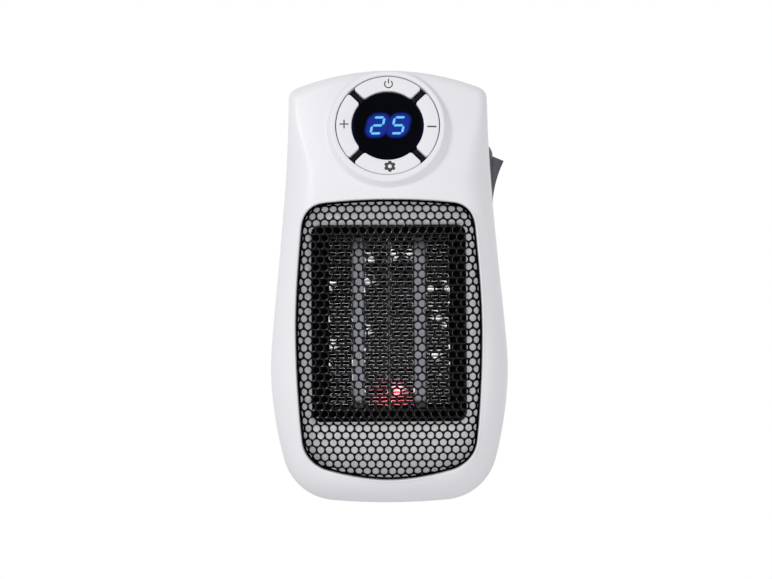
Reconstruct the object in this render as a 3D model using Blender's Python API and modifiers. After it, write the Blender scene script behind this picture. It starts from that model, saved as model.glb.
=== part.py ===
# Plug-in fan heater: a small ceramic heater that hangs on its own plug in a wall socket.
# Metres, +Z up, front towards -Y. The origin is the centre of the plug's face against the socket.
# Inside an empty, x is to the right, y is up and z is the depth forwards from the wall.

import math

import bmesh
import bpy
import numpy as np
from mathutils import Vector

# Fits
CLEARANCE = 0.0003
OVERRUN = 0.002

# Body
WIDTH = 0.0976
HEIGHT = 0.177
DEPTH = 0.078
PARTING = 0.038
WALL = 0.0024
DRAFT = 0.0005
EDGE_TOP = 0.0034
EDGE_SIDE = 0.012
BACK_EDGE_TOP = 0.0032
BACK_EDGE_SIDE = 0.008
EDGE_FADE_HIGH_SHARE = 0.92
EDGE_FADE_LOW_SHARE = 0.72
TOP_BEND_START_SHARE = 0.53672
TOP_BEND_RADIUS_SHARE = 1.06215
BOTTOM_BEND_START = 0.050
BOTTOM_BEND_RADIUS = 0.150
CROWN_RADIUS = 0.140
FACE_RING_SHARES = (0.8, 0.55, 0.3)
EDGE_STEPS = 4
BACK_EDGE_STEPS = 3

# Right half of the body outline, top centre to bottom centre: a chain of Bezier anchors and handles
BODY_SHARES = (
    (0.000, 1.000), (0.246, 1.000), (0.504, 0.987),
    (0.750, 0.9625), (0.807, 0.9565), (0.835, 0.9485),
    (0.837, 0.9335), (0.848, 0.678), (1.000, 0.407),
    (1.000, 0.311), (1.000, 0.237), (0.945, 0.1525),
    (0.895, 0.1017), (0.850, 0.0565), (0.713, 0.0124),
    (0.488, 0.0056), (0.326, 0.002), (0.164, 0.000),
    (0.000, 0.000),
)
BODY_STEPS = (3, 3, 6, 4, 5, 2)

# Tongue of the back shell inside the front shell
TONGUE_HEIGHT = 0.0016
TONGUE_WALL = 0.0010
TONGUE_ROOT = 0.0030

# Window and grille
SIDE_BORDER = 0.0109
BOTTOM_BORDER = 0.0102
TOP_BORDER = 0.0530
WINDOW_SHARES = (
    (0.000, 1.000), (0.264, 1.000), (0.501, 0.995),
    (0.686, 0.988), (0.839, 0.983), (0.918, 0.948),
    (0.934, 0.900), (0.966, 0.782), (1.000, 0.652),
    (1.000, 0.530), (1.000, 0.399), (0.974, 0.242),
    (0.939, 0.138), (0.923, 0.090), (0.831, 0.056),
    (0.699, 0.038), (0.475, 0.015), (0.211, 0.000),
    (0.000, 0.000),
)
WINDOW_STEPS = (2, 4, 4, 3, 4, 2)
GRILLE_SHEET = 0.0007
GRILLE_RECESS = 0.0020
GRILLE_BEND = 0.0026
GRILLE_BEND_STEPS = 2
GRILLE_PITCH = 0.0088
GRILLE_BAR = 0.0014
GRILLE_MARGIN = 0.0006
OUTLINE_STEPS = 8

# Heater: fan, element and their frame share one axis through the middle of the outlet
HEATER_HEIGHT_SHARE = 0.55740
OUTLET_WIDTH_SHARE = 0.82322
OUTLET_HEIGHT_SHARE = 0.69859
OUTLET_CORNER = 0.0035
BAFFLE_SHEET = 0.0016
BAFFLE_BELOW_RIM = 0.00463
BAFFLE_LAP = 0.0020
FOLD_BELOW_OUTLET = 0.0059
BAFFLE_FOLD_SLOPE = 0.27

# Element: fin stacks, element tubes and the middle contact plate, side by side
FIN_SHEET = 0.0004
FIN_COUNT = 16
TUBE_WIDTH = 0.0046
CONTACT_PLATE = 0.0006
ELEMENT_END_MARGIN = 0.00445
ELEMENT_SIDE_MARGIN = 0.0066
ELEMENT_DEPTH = 0.012
TUBE_DEPTH = 0.0105
ELEMENT_ABOVE_SHROUD = 0.004
TAB_WIDTH = 0.0040
TAB_SHEET = 0.0008
TAB_REACH = 0.0020
FRAME_WALL = 0.0016
LEDGE_DEPTH = 0.005

# Fan
MOTOR_RADIUS = 0.0135
MOTOR_LENGTH = 0.013
MOTOR_NECK_RADIUS = 0.0042
MOTOR_NECK_LENGTH = 0.0016
MOTOR_GAP = 0.0023
SHAFT_RADIUS = 0.0011
SHAFT_BORE_DEPTH = 0.003
SPIDER_SHEET = 0.0022
SPIDER_HUB_RADIUS = 0.0098
SPIDER_ARM = 0.0046
SPIDER_ARMS = 3
SPIDER_HUB_STEPS = 4
BORE_PAST_OUTLET = 0.0003
SHROUD_RING = 0.0014
SHROUD_FLANGE = 0.0020
FLANGE_LAP = 0.0008
TIP_GAP = 0.0012
HUB_RADIUS = 0.0105
HUB_LENGTH = 0.0105
HUB_GAP = 0.0016
HUB_WALL = 0.0016
BLADES = 7
BLADE_SHEET = 0.0012
BLADE_CHORD_ROOT = 0.0115
BLADE_CHORD_TIP = 0.0180
BLADE_PITCH_ROOT = math.radians(46)
BLADE_PITCH_TIP = math.radians(24)
BLADE_CAMBER = 0.0012
BLADE_SINK = 0.0010
BLADE_SECTION_SHARES = (0.0, 0.5, 1.0)
BLADE_CHORD_SHARES = (-0.5, 0.0, 0.5)

# Posts that carry the shroud, and what stands on the back wall
SHROUD_POST = 0.0030
POST_INSIDE_FRAME_X = 0.0028
POST_INSIDE_FRAME_Y = 0.00385
BOARD_POST = 0.0024
SENSOR_POST = 0.0016

# Intake slots in the back wall
SLOT_COUNT = 9
SLOT_PITCH_SHARE = 0.0339
SLOT_WIDTH = 0.0028
SLOT_END_INSET = 0.0035
SLOT_FIRST_SHARE = 0.21469

# Control panel: it lies on the leaning part of the front face
PANEL_FROM_TOP = 0.0233
RING_RADIUS = 0.02125
COLLAR_WALL = 0.0018
COLLAR_RISE = 0.0014
COLLAR_CHAMFER = 0.0006
SLEEVE_LENGTH = 0.0062
BUTTON_OUTER = 0.0209
BUTTON_INNER = 0.0147
BUTTON_GAP = 0.0028
BUTTON_THICKNESS = 0.0026
BUTTON_TOP = 0.0009
BUTTON_EDGE = 0.0004
BUTTON_TRAVEL = 0.0006
BUTTON_POST = 0.0011
BUTTON_POST_RING = 0.0174
BUTTON_OUTER_STEPS = 6
BUTTON_INNER_STEPS = 4
BUTTON_TURNS = (("power", 90), ("plus", 180), ("settings", 270), ("minus", 0))
RIB_TURNS = (45, 135, 225, 315)
LENS_RADIUS = 0.0143
LENS_TOP = 0.0003
LENS_THICKNESS = 0.0022
LENS_EDGE = 0.0004
PLATE_THICKNESS = 0.0012
FRAME_EYE = 0.0130
FRAME_SKIRT = 0.0009
FRAME_RIB = 0.0020
FRAME_RIB_DROP = 0.0012
FRAME_FLANGE = 0.0012
POST_HOLE_GAP = 0.0004
LEG_RADIUS = 0.0012
LEG_RING_RADIUS = 0.0187
BOARD_SHEET = 0.0016
BOARD_RADIUS = 0.0205
BOARD_BELOW_FLANGE = 0.0023
TACT_SIZE = 0.0045
TACT_HEIGHT = 0.0031
TACT_PLUNGER_RADIUS = 0.0009
TACT_PLUNGER_HEIGHT = 0.0005
DIGIT_MODULE_WIDTH = 0.0210
DIGIT_MODULE_HEIGHT = 0.0140

# Rocker switch in the right wall of the back shell
SWITCH_HEIGHT_SHARE = 0.74689
SWITCH_DEPTH = 0.0220
BEZEL_LENGTH = 0.0270
BEZEL_WIDTH = 0.0168
BEZEL_CORNER = 0.0060
BEZEL_THICKNESS = 0.0015
BEZEL_PLANE_SHARE = 0.886
SWITCH_BODY_LENGTH = 0.0215
SWITCH_BODY_WIDTH = 0.0126
SWITCH_BODY_DEPTH = 0.0145
SWITCH_WALL = 0.0010
WELL_DEPTH = 0.0070
ROCKER_LENGTH = 0.0180
ROCKER_WIDTH = 0.0100
PIVOT_BELOW_BEZEL = 0.0020
ROCKER_TIP = 0.00395
ROCKER_DISH = 0.0007
ROCKER_ROOT = 0.0016
ROCKER_FOOT_SHARE = 0.45
ROCKER_END_SHARE = 0.97
ROCKER_HALF_SWING = math.radians(15)
TERMINAL_WIDTH = 0.0048
TERMINAL_SHEET = 0.0008
TERMINAL_LENGTH = 0.0080
TERMINAL_SPACING = 0.0070

# Plug: round two-pin type on a turning disc
PLUG_HEIGHT_SHARE = 0.63277
BOSS_RADIUS = 0.0185
BOSS_LENGTH = 0.0190
BOSS_EDGE = 0.0012
DISC_RADIUS = 0.0230
DISC_THICKNESS = 0.0067
DISC_EDGE = 0.0014
NECK_RADIUS = 0.0160
NECK_BORE = 0.0070
PIN_RADIUS = 0.0024
PIN_LENGTH = 0.0190
PIN_SPACING = 0.0190
PIN_SEAT = 0.0120
PIN_TIP = 0.0010
PIN_FIT = 0.0002
CLIP_SLOT_WIDTH = 0.0080
CLIP_SLOT_DEPTH = 0.0026
CLIP_SLOT_LENGTH = 0.0150
CLIP_WIDTH = 0.0064
CLIP_SHEET = 0.0008
CLIP_BOW = 0.0008
CLIP_BOW_SHARES = ((1.0, 0.0), (0.8, 0.0), (0.5, 1.0), (0.3, 1.0), (0.0, 0.0))
GROOVE_WIDTH = 0.0052
GROOVE_DEPTH = 0.0024
WASHER_SHEET = 0.0006
RETAINER_RADIUS = 0.0215
RETAINER_SHEET = 0.0020
RETAINER_SCREWS = 3
RETAINER_SCREW_RING = 0.0118

# Screws
SCREW_RADIUS = 0.0012
SCREW_HEAD_RADIUS = 0.0025
SCREW_HEAD_HEIGHT = 0.0016
SCREW_LENGTH = 0.0090
SHORT_SCREW_LENGTH = 0.0060
BOSS_OUTER = 0.0037
WELL_FLOOR = 0.0300
HIGH_BOSS_GAP = 0.00375
HIGH_BOSS_FROM_TOP = 0.0190
LOW_BOSS_X_SHARE = 0.34836
LOW_BOSS_Y_SHARE = 0.12429
LOW_BOSS_LENGTH_SHARE = 0.5
LOW_BOSS_RIB = 0.0020

# Electronics at the bottom
POWER_BOARD_GAP = 0.0033
POWER_BOARD_HEIGHT = 0.0230
POWER_BOARD_Y_SHARE = 0.10452
POWER_BOARD_DEPTH = 0.0140
BOARD_POST_INSET = 0.0070
RELAY_SIZE = (0.0150, 0.0120, 0.0120)
RELAY_X = -0.0090
CAPACITOR_SIZE = (0.0130, 0.0080, 0.0105)
CAPACITOR_X = 0.0110
PART_EDGE = 0.0005
SENSOR_X_SHARE = -0.3791
SENSOR_Y_SHARE = 0.33898
SENSOR_STAND = 0.0080
SENSOR_SIZE = (0.0040, 0.0060, 0.0030)
CUTOUT_X = 0.0130
CUTOUT_RADIUS = 0.0062
CUTOUT_HEIGHT = 0.0045
CUTOUT_CAP = 0.0012
CUTOUT_RIM = 0.0014
LEAD_RADIUS = 0.0009

# Leads: where they leave the power board, and their bends as steps from both ends, chosen by hand
LIVE_START_INSET = 0.0060
NEUTRAL_START_INSET = 0.0050
LEAD_START_RISE = 0.0077
LIVE_START_BENDS = ((0.0, 0.0, 0.0), (-0.0002, 0.0002, 0.0060), (0.0010, 0.0, 0.0140))
NEUTRAL_START_BENDS = ((0.0, 0.0, 0.0), (-0.0004, 0.0002, 0.0060), (-0.0060, 0.0, 0.0140))
LIVE_END_BENDS = ((-0.0039, -0.0035, -0.0069), (-0.0009, -0.0033, -0.0019), (0.0, 0.0, 0.0))
NEUTRAL_END_BENDS = ((0.0070, -0.0035, -0.0069), (0.0012, -0.0033, -0.0019), (0.0, 0.0, 0.0))
DISPLAY_TOP_BENDS = ((-0.0120, -0.0112, -0.0182), (-0.0124, -0.0125, -0.0222), (-0.0200, -0.0187, -0.0310))
DISPLAY_SIDE_SHARES = (
    (-0.6762, 0.68927), (-0.7869, 0.59887), (-0.8197, 0.48023),
    (-0.8299, 0.36158), (-0.8094, 0.25989), (-0.7172, 0.19209),
)
DISPLAY_SIDE_DEPTHS = (0.0380, 0.0300, 0.0260, 0.0240, 0.0220, 0.0200)
DISPLAY_FOOT_BENDS = ((0.0002, 0.0087, 0.0055), (0.0025, 0.0077, 0.0020))
ROUTE_STEPS = 2

# Facets
ROUND_STEPS = 24
MIDDLE_STEPS = 18
SMALL_STEPS = 10
FINE_STEPS = 8
STADIUM_STEPS = 4
SMOOTH_ANGLE = math.radians(35)
BEVEL_ANGLE = math.radians(40)
MERGE_DISTANCE = 0.00001

# Places worked out from the sizes above
WINDOW_HEIGHT = HEIGHT - TOP_BORDER - BOTTOM_BORDER
WINDOW_WIDTH = WIDTH - 2 * SIDE_BORDER
OUTLET_WIDTH = WINDOW_WIDTH * OUTLET_WIDTH_SHARE
OUTLET_HEIGHT = WINDOW_HEIGHT * OUTLET_HEIGHT_SHARE
HEATER_Y = BOTTOM_BORDER + WINDOW_HEIGHT * HEATER_HEIGHT_SHARE
TOP_BEND_START = HEIGHT * TOP_BEND_START_SHARE
TOP_BEND_RADIUS = HEIGHT * TOP_BEND_RADIUS_SHARE
TOP_DROP = (HEIGHT - TOP_BORDER - TOP_BEND_START) ** 2 / (2 * TOP_BEND_RADIUS)
SIDE_DROP = (WINDOW_WIDTH / 2) ** 2 / (2 * CROWN_RADIUS)
PLUG_HEIGHT = HEIGHT * PLUG_HEIGHT_SHARE
SWITCH_HEIGHT = HEIGHT * SWITCH_HEIGHT_SHARE
PANEL_Y = HEIGHT - PANEL_FROM_TOP
PANEL_SLOPE = (PANEL_Y - TOP_BEND_START) / TOP_BEND_RADIUS
SOCKET_TO_BACK = BOSS_LENGTH + DISC_THICKNESS + CLEARANCE
MOTOR_BACK = WALL + MOTOR_GAP
SPIDER_BACK = MOTOR_BACK + MOTOR_LENGTH + CLEARANCE
FAN_DEPTH = SPIDER_BACK + SPIDER_SHEET + HUB_GAP + HUB_LENGTH / 2
SHROUD_FRONT = SPIDER_BACK + SPIDER_SHEET + HUB_GAP + HUB_LENGTH + HUB_GAP
FRAME_BACK = SHROUD_FRONT + CLEARANCE
ELEMENT_BACK = SHROUD_FRONT + ELEMENT_ABOVE_SHROUD
ELEMENT_MIDDLE = ELEMENT_BACK + ELEMENT_DEPTH / 2
BAFFLE_FRONT = DEPTH - TOP_DROP - SIDE_DROP - BAFFLE_BELOW_RIM
BAFFLE_FOLD_HEIGHT = HEATER_Y - OUTLET_HEIGHT / 2 - FOLD_BELOW_OUTLET
FRAME_FRONT = BAFFLE_FRONT - BAFFLE_SHEET - CLEARANCE
FRAME_HALF_WIDTH = OUTLET_WIDTH / 2 + FRAME_WALL
FRAME_HALF_HEIGHT = OUTLET_HEIGHT / 2 + FRAME_WALL
ELEMENT_HEIGHT = OUTLET_HEIGHT - 2 * ELEMENT_END_MARGIN
ELEMENT_HALF_WIDTH = OUTLET_WIDTH / 2 - ELEMENT_SIDE_MARGIN
FIN_WIDTH = (ELEMENT_HALF_WIDTH - CONTACT_PLATE / 2 - TUBE_WIDTH - 3 * CLEARANCE) / 2
TUBE_X = CONTACT_PLATE / 2 + CLEARANCE + FIN_WIDTH + CLEARANCE + TUBE_WIDTH / 2
SHROUD_BORE = min(OUTLET_WIDTH, OUTLET_HEIGHT) / 2 + BORE_PAST_OUTLET
SHROUD_POST_X = FRAME_HALF_WIDTH - POST_INSIDE_FRAME_X
SHROUD_POST_Y = FRAME_HALF_HEIGHT - POST_INSIDE_FRAME_Y
SLOT_PITCH = HEIGHT * SLOT_PITCH_SHARE
SLOT_FIRST = HEIGHT * SLOT_FIRST_SHARE
SLOT_LENGTH = 2 * (SHROUD_BORE - SLOT_END_INSET)
PLATE_TOP = BUTTON_TOP - BUTTON_THICKNESS - BUTTON_TRAVEL - CLEARANCE
PLATE_BACK = PLATE_TOP - PLATE_THICKNESS
FLANGE_FRONT = -SLEEVE_LENGTH - CLEARANCE
FLANGE_BACK = FLANGE_FRONT - FRAME_FLANGE
CONTROL_BOARD_FRONT = FLANGE_BACK - BOARD_BELOW_FLANGE
BEZEL_PLANE = WIDTH / 2 * BEZEL_PLANE_SHARE
NECK_END = SOCKET_TO_BACK + WALL + CLEARANCE + WASHER_SHEET + CLEARANCE
BOSS_FOOT = PARTING + CLEARANCE
HIGH_BOSS_X = RING_RADIUS + COLLAR_WALL + HIGH_BOSS_GAP + BOSS_OUTER
HIGH_BOSS_Y = HEIGHT - HIGH_BOSS_FROM_TOP
LOW_BOSS_X = WIDTH * LOW_BOSS_X_SHARE
LOW_BOSS_Y = HEIGHT * LOW_BOSS_Y_SHARE
LOW_BOSS_LENGTH = (DEPTH - PARTING) * LOW_BOSS_LENGTH_SHARE
SCREW_PLACES = [
    (HIGH_BOSS_X, HIGH_BOSS_Y),
    (-HIGH_BOSS_X, HIGH_BOSS_Y),
    (LOW_BOSS_X, LOW_BOSS_Y),
    (-LOW_BOSS_X, LOW_BOSS_Y),
]
POWER_BOARD_WIDTH = 2 * (LOW_BOSS_X - BOSS_OUTER - POWER_BOARD_GAP)
POWER_BOARD_Y = HEIGHT * POWER_BOARD_Y_SHARE
BOARD_POST_X = POWER_BOARD_WIDTH / 2 - BOARD_POST_INSET
SENSOR_X = WIDTH * SENSOR_X_SHARE
SENSOR_Y = HEIGHT * SENSOR_Y_SHARE
LEAD_START_DEPTH = POWER_BOARD_DEPTH + BOARD_SHEET + CLEARANCE
LEAD_END_Y = HEATER_Y - FRAME_HALF_HEIGHT - TAB_REACH - CLEARANCE


# Scene and materials


def clear_scene():
    for thing in list(bpy.data.objects):
        bpy.data.objects.remove(thing, do_unlink=True)


def collection(name):
    made = bpy.data.collections.new(name)
    bpy.context.scene.collection.children.link(made)
    return made


def material(name, colour, roughness, metallic=0.0):
    made = bpy.data.materials.new(name)
    made.use_nodes = True
    shader = made.node_tree.nodes["Principled BSDF"]
    shader.inputs["Base Color"].default_value = (*colour, 1.0)
    shader.inputs["Roughness"].default_value = roughness
    shader.inputs["Metallic"].default_value = metallic
    return made


clear_scene()
PARTS = collection("plug_in_fan_heater")
CUTTERS = collection("cutters")

WHITE = material("white_plastic", (0.83, 0.83, 0.85), 0.38)
BUTTON_WHITE = material("button_plastic", (0.80, 0.80, 0.83), 0.30)
BLACK_METAL = material("black_sheet", (0.012, 0.012, 0.016), 0.45, 0.6)
BLACK_PLASTIC = material("black_plastic", (0.015, 0.015, 0.018), 0.40)
DARK_GREY = material("switch_plastic", (0.065, 0.062, 0.080), 0.42)
GREY_PLASTIC = material("baffle_plastic", (0.48, 0.48, 0.52), 0.50)
ALUMINIUM = material("fin_aluminium", (0.62, 0.62, 0.64), 0.30, 1.0)
TUBE_GREY = material("tube_anodised", (0.42, 0.42, 0.47), 0.45, 0.4)
LENS_BLACK = material("lens_black", (0.004, 0.005, 0.012), 0.08)
STEEL = material("steel", (0.56, 0.56, 0.57), 0.32, 1.0)
BRASS = material("plated_brass", (0.72, 0.68, 0.55), 0.25, 1.0)
BOARD_GREEN = material("board_green", (0.05, 0.20, 0.09), 0.50)
FAN_GREY = material("fan_plastic", (0.10, 0.10, 0.11), 0.45)
RELAY_BLUE = material("relay_blue", (0.06, 0.12, 0.35), 0.45)
CERAMIC_WHITE = material("cutout_ceramic", (0.75, 0.72, 0.66), 0.60)
RED_RUBBER = material("lead_insulation", (0.45, 0.03, 0.03), 0.55)


def empty(name, location, rotation=(0.0, 0.0, 0.0), parent=None):
    made = bpy.data.objects.new(name, None)
    made.location = location
    made.rotation_euler = rotation
    made.parent = parent
    PARTS.objects.link(made)
    return made


def place(name, mesh, parent, finish=None, location=(0.0, 0.0, 0.0), rotation=(0.0, 0.0, 0.0)):
    """Adds an object: a part with its finish, or a cutter where there is none."""
    made = bpy.data.objects.new(name, mesh)
    made.parent = parent
    made.location = location
    made.rotation_euler = rotation
    if finish is None:
        CUTTERS.objects.link(made)
        made.hide_render = True
        made.display_type = "WIRE"
    else:
        PARTS.objects.link(made)
        mesh.materials.append(finish)
    return made


def smooth(thing):
    thing.data.shade_smooth()
    thing.data.set_sharp_from_angle(angle=SMOOTH_ANGLE)
    return thing


# Modifiers


def boolean(thing, tool, operation):
    step = thing.modifiers.new(tool.name, "BOOLEAN")
    step.operation = operation
    step.object = tool
    step.solver = "EXACT"


def cut(thing, *tools):
    for tool in tools:
        boolean(thing, tool, "DIFFERENCE")


def join(thing, *tools):
    for tool in tools:
        boolean(thing, tool, "UNION")


def bevel(thing, width):
    step = thing.modifiers.new("edges", "BEVEL")
    step.width = width
    step.segments = 1
    step.limit_method = "ANGLE"
    step.angle_limit = BEVEL_ANGLE
    return thing


def thicken(thing, thickness, offset):
    step = thing.modifiers.new("wall", "SOLIDIFY")
    step.thickness = thickness
    step.offset = offset
    step.use_even_offset = True
    return thing


# Shapes


def mesh_from(work, name):
    mesh = bpy.data.meshes.new(name)
    work.to_mesh(mesh)
    work.free()
    return mesh


def box(name, low, high):
    """A box between two corners."""
    work = bmesh.new()
    bmesh.ops.create_cube(work, size=1.0)
    low = Vector(low)
    high = Vector(high)
    bmesh.ops.scale(work, vec=high - low, verts=work.verts)
    bmesh.ops.translate(work, vec=(low + high) / 2, verts=work.verts)
    return mesh_from(work, name)


def cylinders(name, radius, low, high, places, parent, finish=None, steps=SMALL_STEPS):
    """Like cylinders along z between two depths, one at each (x, y)."""
    work = bmesh.new()
    for x, y in places:
        made = bmesh.ops.create_cone(
            work, cap_ends=True, segments=steps, radius1=radius, radius2=radius, depth=high - low
        )
        bmesh.ops.translate(work, vec=(x, y, (low + high) / 2), verts=made["verts"])
    return place(name, mesh_from(work, name), parent, finish)


def turned(name, profile, parent, finish=None, steps=ROUND_STEPS, closed=False, location=(0.0, 0.0, 0.0)):
    """A profile of (radius, depth) points turned about z, outer side from front to back."""
    work = bmesh.new()
    points = [work.verts.new((radius, 0, depth)) for radius, depth in profile]
    for first, second in zip(points, points[1:]):
        work.edges.new((first, second))
    if closed:
        work.edges.new((points[-1], points[0]))
    made = place(name, mesh_from(work, name), parent, finish, location)
    step = made.modifiers.new("turn", "SCREW")
    step.steps = steps
    step.render_steps = steps
    step.use_merge_vertices = True
    step.merge_threshold = MERGE_DISTANCE
    return made


def plate(name, outlines, back, front, parent, finish=None, faces="BOTH"):
    """A flat outline with its holes, extruded between two depths, as a mesh."""
    curve = bpy.data.curves.new(name + "_outline", "CURVE")
    curve.dimensions = "2D"
    curve.fill_mode = faces
    curve.extrude = (front - back) / 2
    for points in outlines:
        spline = curve.splines.new("POLY")
        spline.points.add(len(points) - 1)
        for point, (x, y) in zip(spline.points, points):
            point.co = (x, y, 0, 1)
        spline.use_cyclic_u = True
    drawn = bpy.data.objects.new(name + "_outline", curve)
    CUTTERS.objects.link(drawn)
    bpy.context.view_layer.update()
    graph = bpy.context.evaluated_depsgraph_get()
    mesh = bpy.data.meshes.new_from_object(drawn.evaluated_get(graph))
    bpy.data.objects.remove(drawn)
    work = bmesh.new()
    work.from_mesh(mesh)
    bmesh.ops.remove_doubles(work, verts=work.verts, dist=MERGE_DISTANCE)
    bmesh.ops.translate(work, vec=(0, 0, (front + back) / 2), verts=work.verts)
    bmesh.ops.recalc_face_normals(work, faces=work.faces)
    work.to_mesh(mesh)
    work.free()
    mesh.name = name
    return place(name, mesh, parent, finish)


def skin(name, rings, parent, finish=None, start_face=False, end=None, around=False):
    """Faces between rings of points, closed at the start by a face and at the end by a point."""
    work = bmesh.new()
    rows = [[work.verts.new(point) for point in ring] for ring in rings]
    pairs = list(zip(rows, rows[1:]))
    if around:
        pairs.append((rows[-1], rows[0]))
    for low, high in pairs:
        for i in range(len(low)):
            j = (i + 1) % len(low)
            work.faces.new((low[i], low[j], high[j], high[i]))
    if start_face:
        work.faces.new(rows[0][::-1])
    if end is not None:
        tip = work.verts.new(end)
        for i in range(len(rows[-1])):
            work.faces.new((rows[-1][i], rows[-1][(i + 1) % len(rows[-1])], tip))
    if around:
        bmesh.ops.recalc_face_normals(work, faces=work.faces)
    return place(name, mesh_from(work, name), parent, finish)


def tube(name, route, radius, parent, finish):
    """A lead along a smooth line through its route."""
    curve = bpy.data.curves.new(name, "CURVE")
    curve.dimensions = "3D"
    curve.bevel_depth = radius
    curve.bevel_resolution = 2
    curve.use_fill_caps = True
    points = [Vector(point) for point in route]
    line = []
    for i in range(len(points) - 1):
        before = points[max(i - 1, 0)]
        after = points[min(i + 2, len(points) - 1)]
        pull = (points[i + 1] - before) / 2
        push = (after - points[i]) / 2
        for k in range(ROUTE_STEPS):
            t = k / ROUTE_STEPS
            line.append(
                points[i] * (2 * t**3 - 3 * t**2 + 1)
                + points[i + 1] * (3 * t**2 - 2 * t**3)
                + pull * (t**3 - 2 * t**2 + t)
                + push * (t**3 - t**2)
            )
    line.append(points[-1])
    spline = curve.splines.new("POLY")
    spline.points.add(len(line) - 1)
    for point, place_at in zip(spline.points, line):
        point.co = (*place_at, 1)
    made = bpy.data.objects.new(name, curve)
    made.parent = parent
    curve.materials.append(finish)
    PARTS.objects.link(made)
    return made


# Outlines and surfaces of the body


def closed_outline(half_width, bottom, top, shares, steps):
    """A left-right symmetric outline, anticlockwise from its bottom centre, from Bezier shares."""
    half = []
    for i, count in enumerate(steps):
        a, b, c, d = (np.array(point) for point in shares[3 * i : 3 * i + 4])
        for k in range(count):
            t = k / count
            half.append(a * (1 - t) ** 3 + 3 * b * t * (1 - t) ** 2 + 3 * c * t**2 * (1 - t) + d * t**3)
    half.append(np.array(shares[-1]))
    right = [(x * half_width, bottom + y * (top - bottom)) for x, y in reversed(half)]
    left = [(-x, y) for x, y in reversed(right[1:-1])]
    return np.array(right + left)


def inset(outline, distances):
    """Each point of an anticlockwise outline moved inwards, square to the outline."""
    along = np.roll(outline, -1, axis=0) - np.roll(outline, 1, axis=0)
    along /= np.linalg.norm(along, axis=1)[:, None]
    inwards = np.column_stack((-along[:, 1], along[:, 0]))
    return outline + inwards * np.broadcast_to(distances, len(outline))[:, None]


def body_outline():
    return closed_outline(WIDTH / 2, 0, HEIGHT, BODY_SHARES, BODY_STEPS)


def window_outline():
    return closed_outline(
        WIDTH / 2 - SIDE_BORDER, BOTTOM_BORDER, HEIGHT - TOP_BORDER, WINDOW_SHARES, WINDOW_STEPS
    )


def face_depth(x, y):
    """The front face before its edges are rounded: crowned across, bent back at top and bottom."""
    top = np.maximum(y - TOP_BEND_START, 0)
    bottom = np.maximum(BOTTOM_BEND_START - y, 0)
    across = x**2 / (2 * CROWN_RADIUS)
    return DEPTH - across - top**2 / (2 * TOP_BEND_RADIUS) - bottom**2 / (2 * BOTTOM_BEND_RADIUS)


def edge_radii(outline, at_top, at_side):
    """The edge radius at each outline point: small round the top, fading to the side radius below."""
    high = HEIGHT * EDGE_FADE_HIGH_SHARE
    low = HEIGHT * EDGE_FADE_LOW_SHARE
    fade = np.clip((high - outline[:, 1]) / (high - low), 0, 1)
    fade = fade**2 * (3 - 2 * fade)
    return at_top + (at_side - at_top) * fade


def with_depth(flat, depth):
    return np.column_stack((flat, np.broadcast_to(depth, len(flat))))


def front_rings():
    outline = body_outline()
    radii = edge_radii(outline, EDGE_TOP, EDGE_SIDE)
    rings = [with_depth(outline, PARTING)]
    for k in range(EDGE_STEPS + 1):
        angle = math.pi / 2 * k / EDGE_STEPS
        flat = inset(outline, DRAFT + radii * (1 - math.cos(angle)))
        rings.append(with_depth(flat, face_depth(*flat.T) - radii * (1 - math.sin(angle))))
    centre = np.array((0, HEATER_Y))
    for share in FACE_RING_SHARES:
        inner = centre + (flat - centre) * share
        rings.append(with_depth(inner, face_depth(*inner.T)))
    return rings


def back_rings():
    outline = body_outline()
    radii = edge_radii(outline, BACK_EDGE_TOP, BACK_EDGE_SIDE)
    rings = []
    for k in range(BACK_EDGE_STEPS + 1):
        angle = math.pi / 2 * (1 - k / BACK_EDGE_STEPS)
        flat = inset(outline, DRAFT + radii * (1 - math.cos(angle)))
        rings.append(with_depth(flat, radii * (1 - math.sin(angle))))
    rings.append(with_depth(outline, PARTING - CLEARANCE))
    return rings


def half_width_at(y):
    """Half the body's width at a height, on the straight run of its side."""
    side = body_outline()
    side = side[: side[:, 0].argmax() + 1]
    return float(np.interp(y, side[:, 1], side[:, 0]))


def both(x, y):
    return [(x, y), (-x, y)]


def polar(radius, degrees):
    angle = math.radians(degrees)
    return radius * math.cos(angle), radius * math.sin(angle)


def circle(radius, steps=ROUND_STEPS):
    return [polar(radius, 360 * k / steps) for k in range(steps)]


def rounded_rectangle(half_width, half_height, corner, y=0.0, corner_steps=2):
    points = []
    for k, (side, level) in enumerate(((1, 1), (-1, 1), (-1, -1), (1, -1))):
        for step in range(corner_steps + 1):
            angle = math.pi / 2 * (k + step / corner_steps)
            across = side * (half_width - corner) + corner * math.cos(angle)
            up = level * (half_height - corner) + corner * math.sin(angle)
            points.append((across, y + up))
    return points


RETAINER_PLACES = []
for k in range(RETAINER_SCREWS):
    RETAINER_PLACES.append(polar(RETAINER_SCREW_RING, 90 + 360 * k / RETAINER_SCREWS))


# Frames of the assembly: the plug stands still, the housing turns on it

plug = empty("plug", (0, 0, 0), (math.radians(90), 0, 0))
housing = empty("housing", (0, -PLUG_HEIGHT, SOCKET_TO_BACK), parent=plug)
heater = empty("heater_axis", (0, HEATER_Y, 0), parent=housing)
panel = empty(
    "panel",
    (0, PANEL_Y, float(face_depth(0.0, PANEL_Y))),
    (-math.atan(PANEL_SLOPE), 0, 0),
    parent=housing,
)
switch = empty("switch", (BEZEL_PLANE, SWITCH_HEIGHT, SWITCH_DEPTH), parent=housing)
rotor = empty("rotor", (0, 0, FAN_DEPTH), parent=heater)
rocker_axis = empty(
    "rocker_axis", (-PIVOT_BELOW_BEZEL, 0, 0), (0, 0, -ROCKER_HALF_SWING), parent=switch
)


# Front shell: a leaning, crowned face with soft edges, a window and the collar of the control panel


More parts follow.
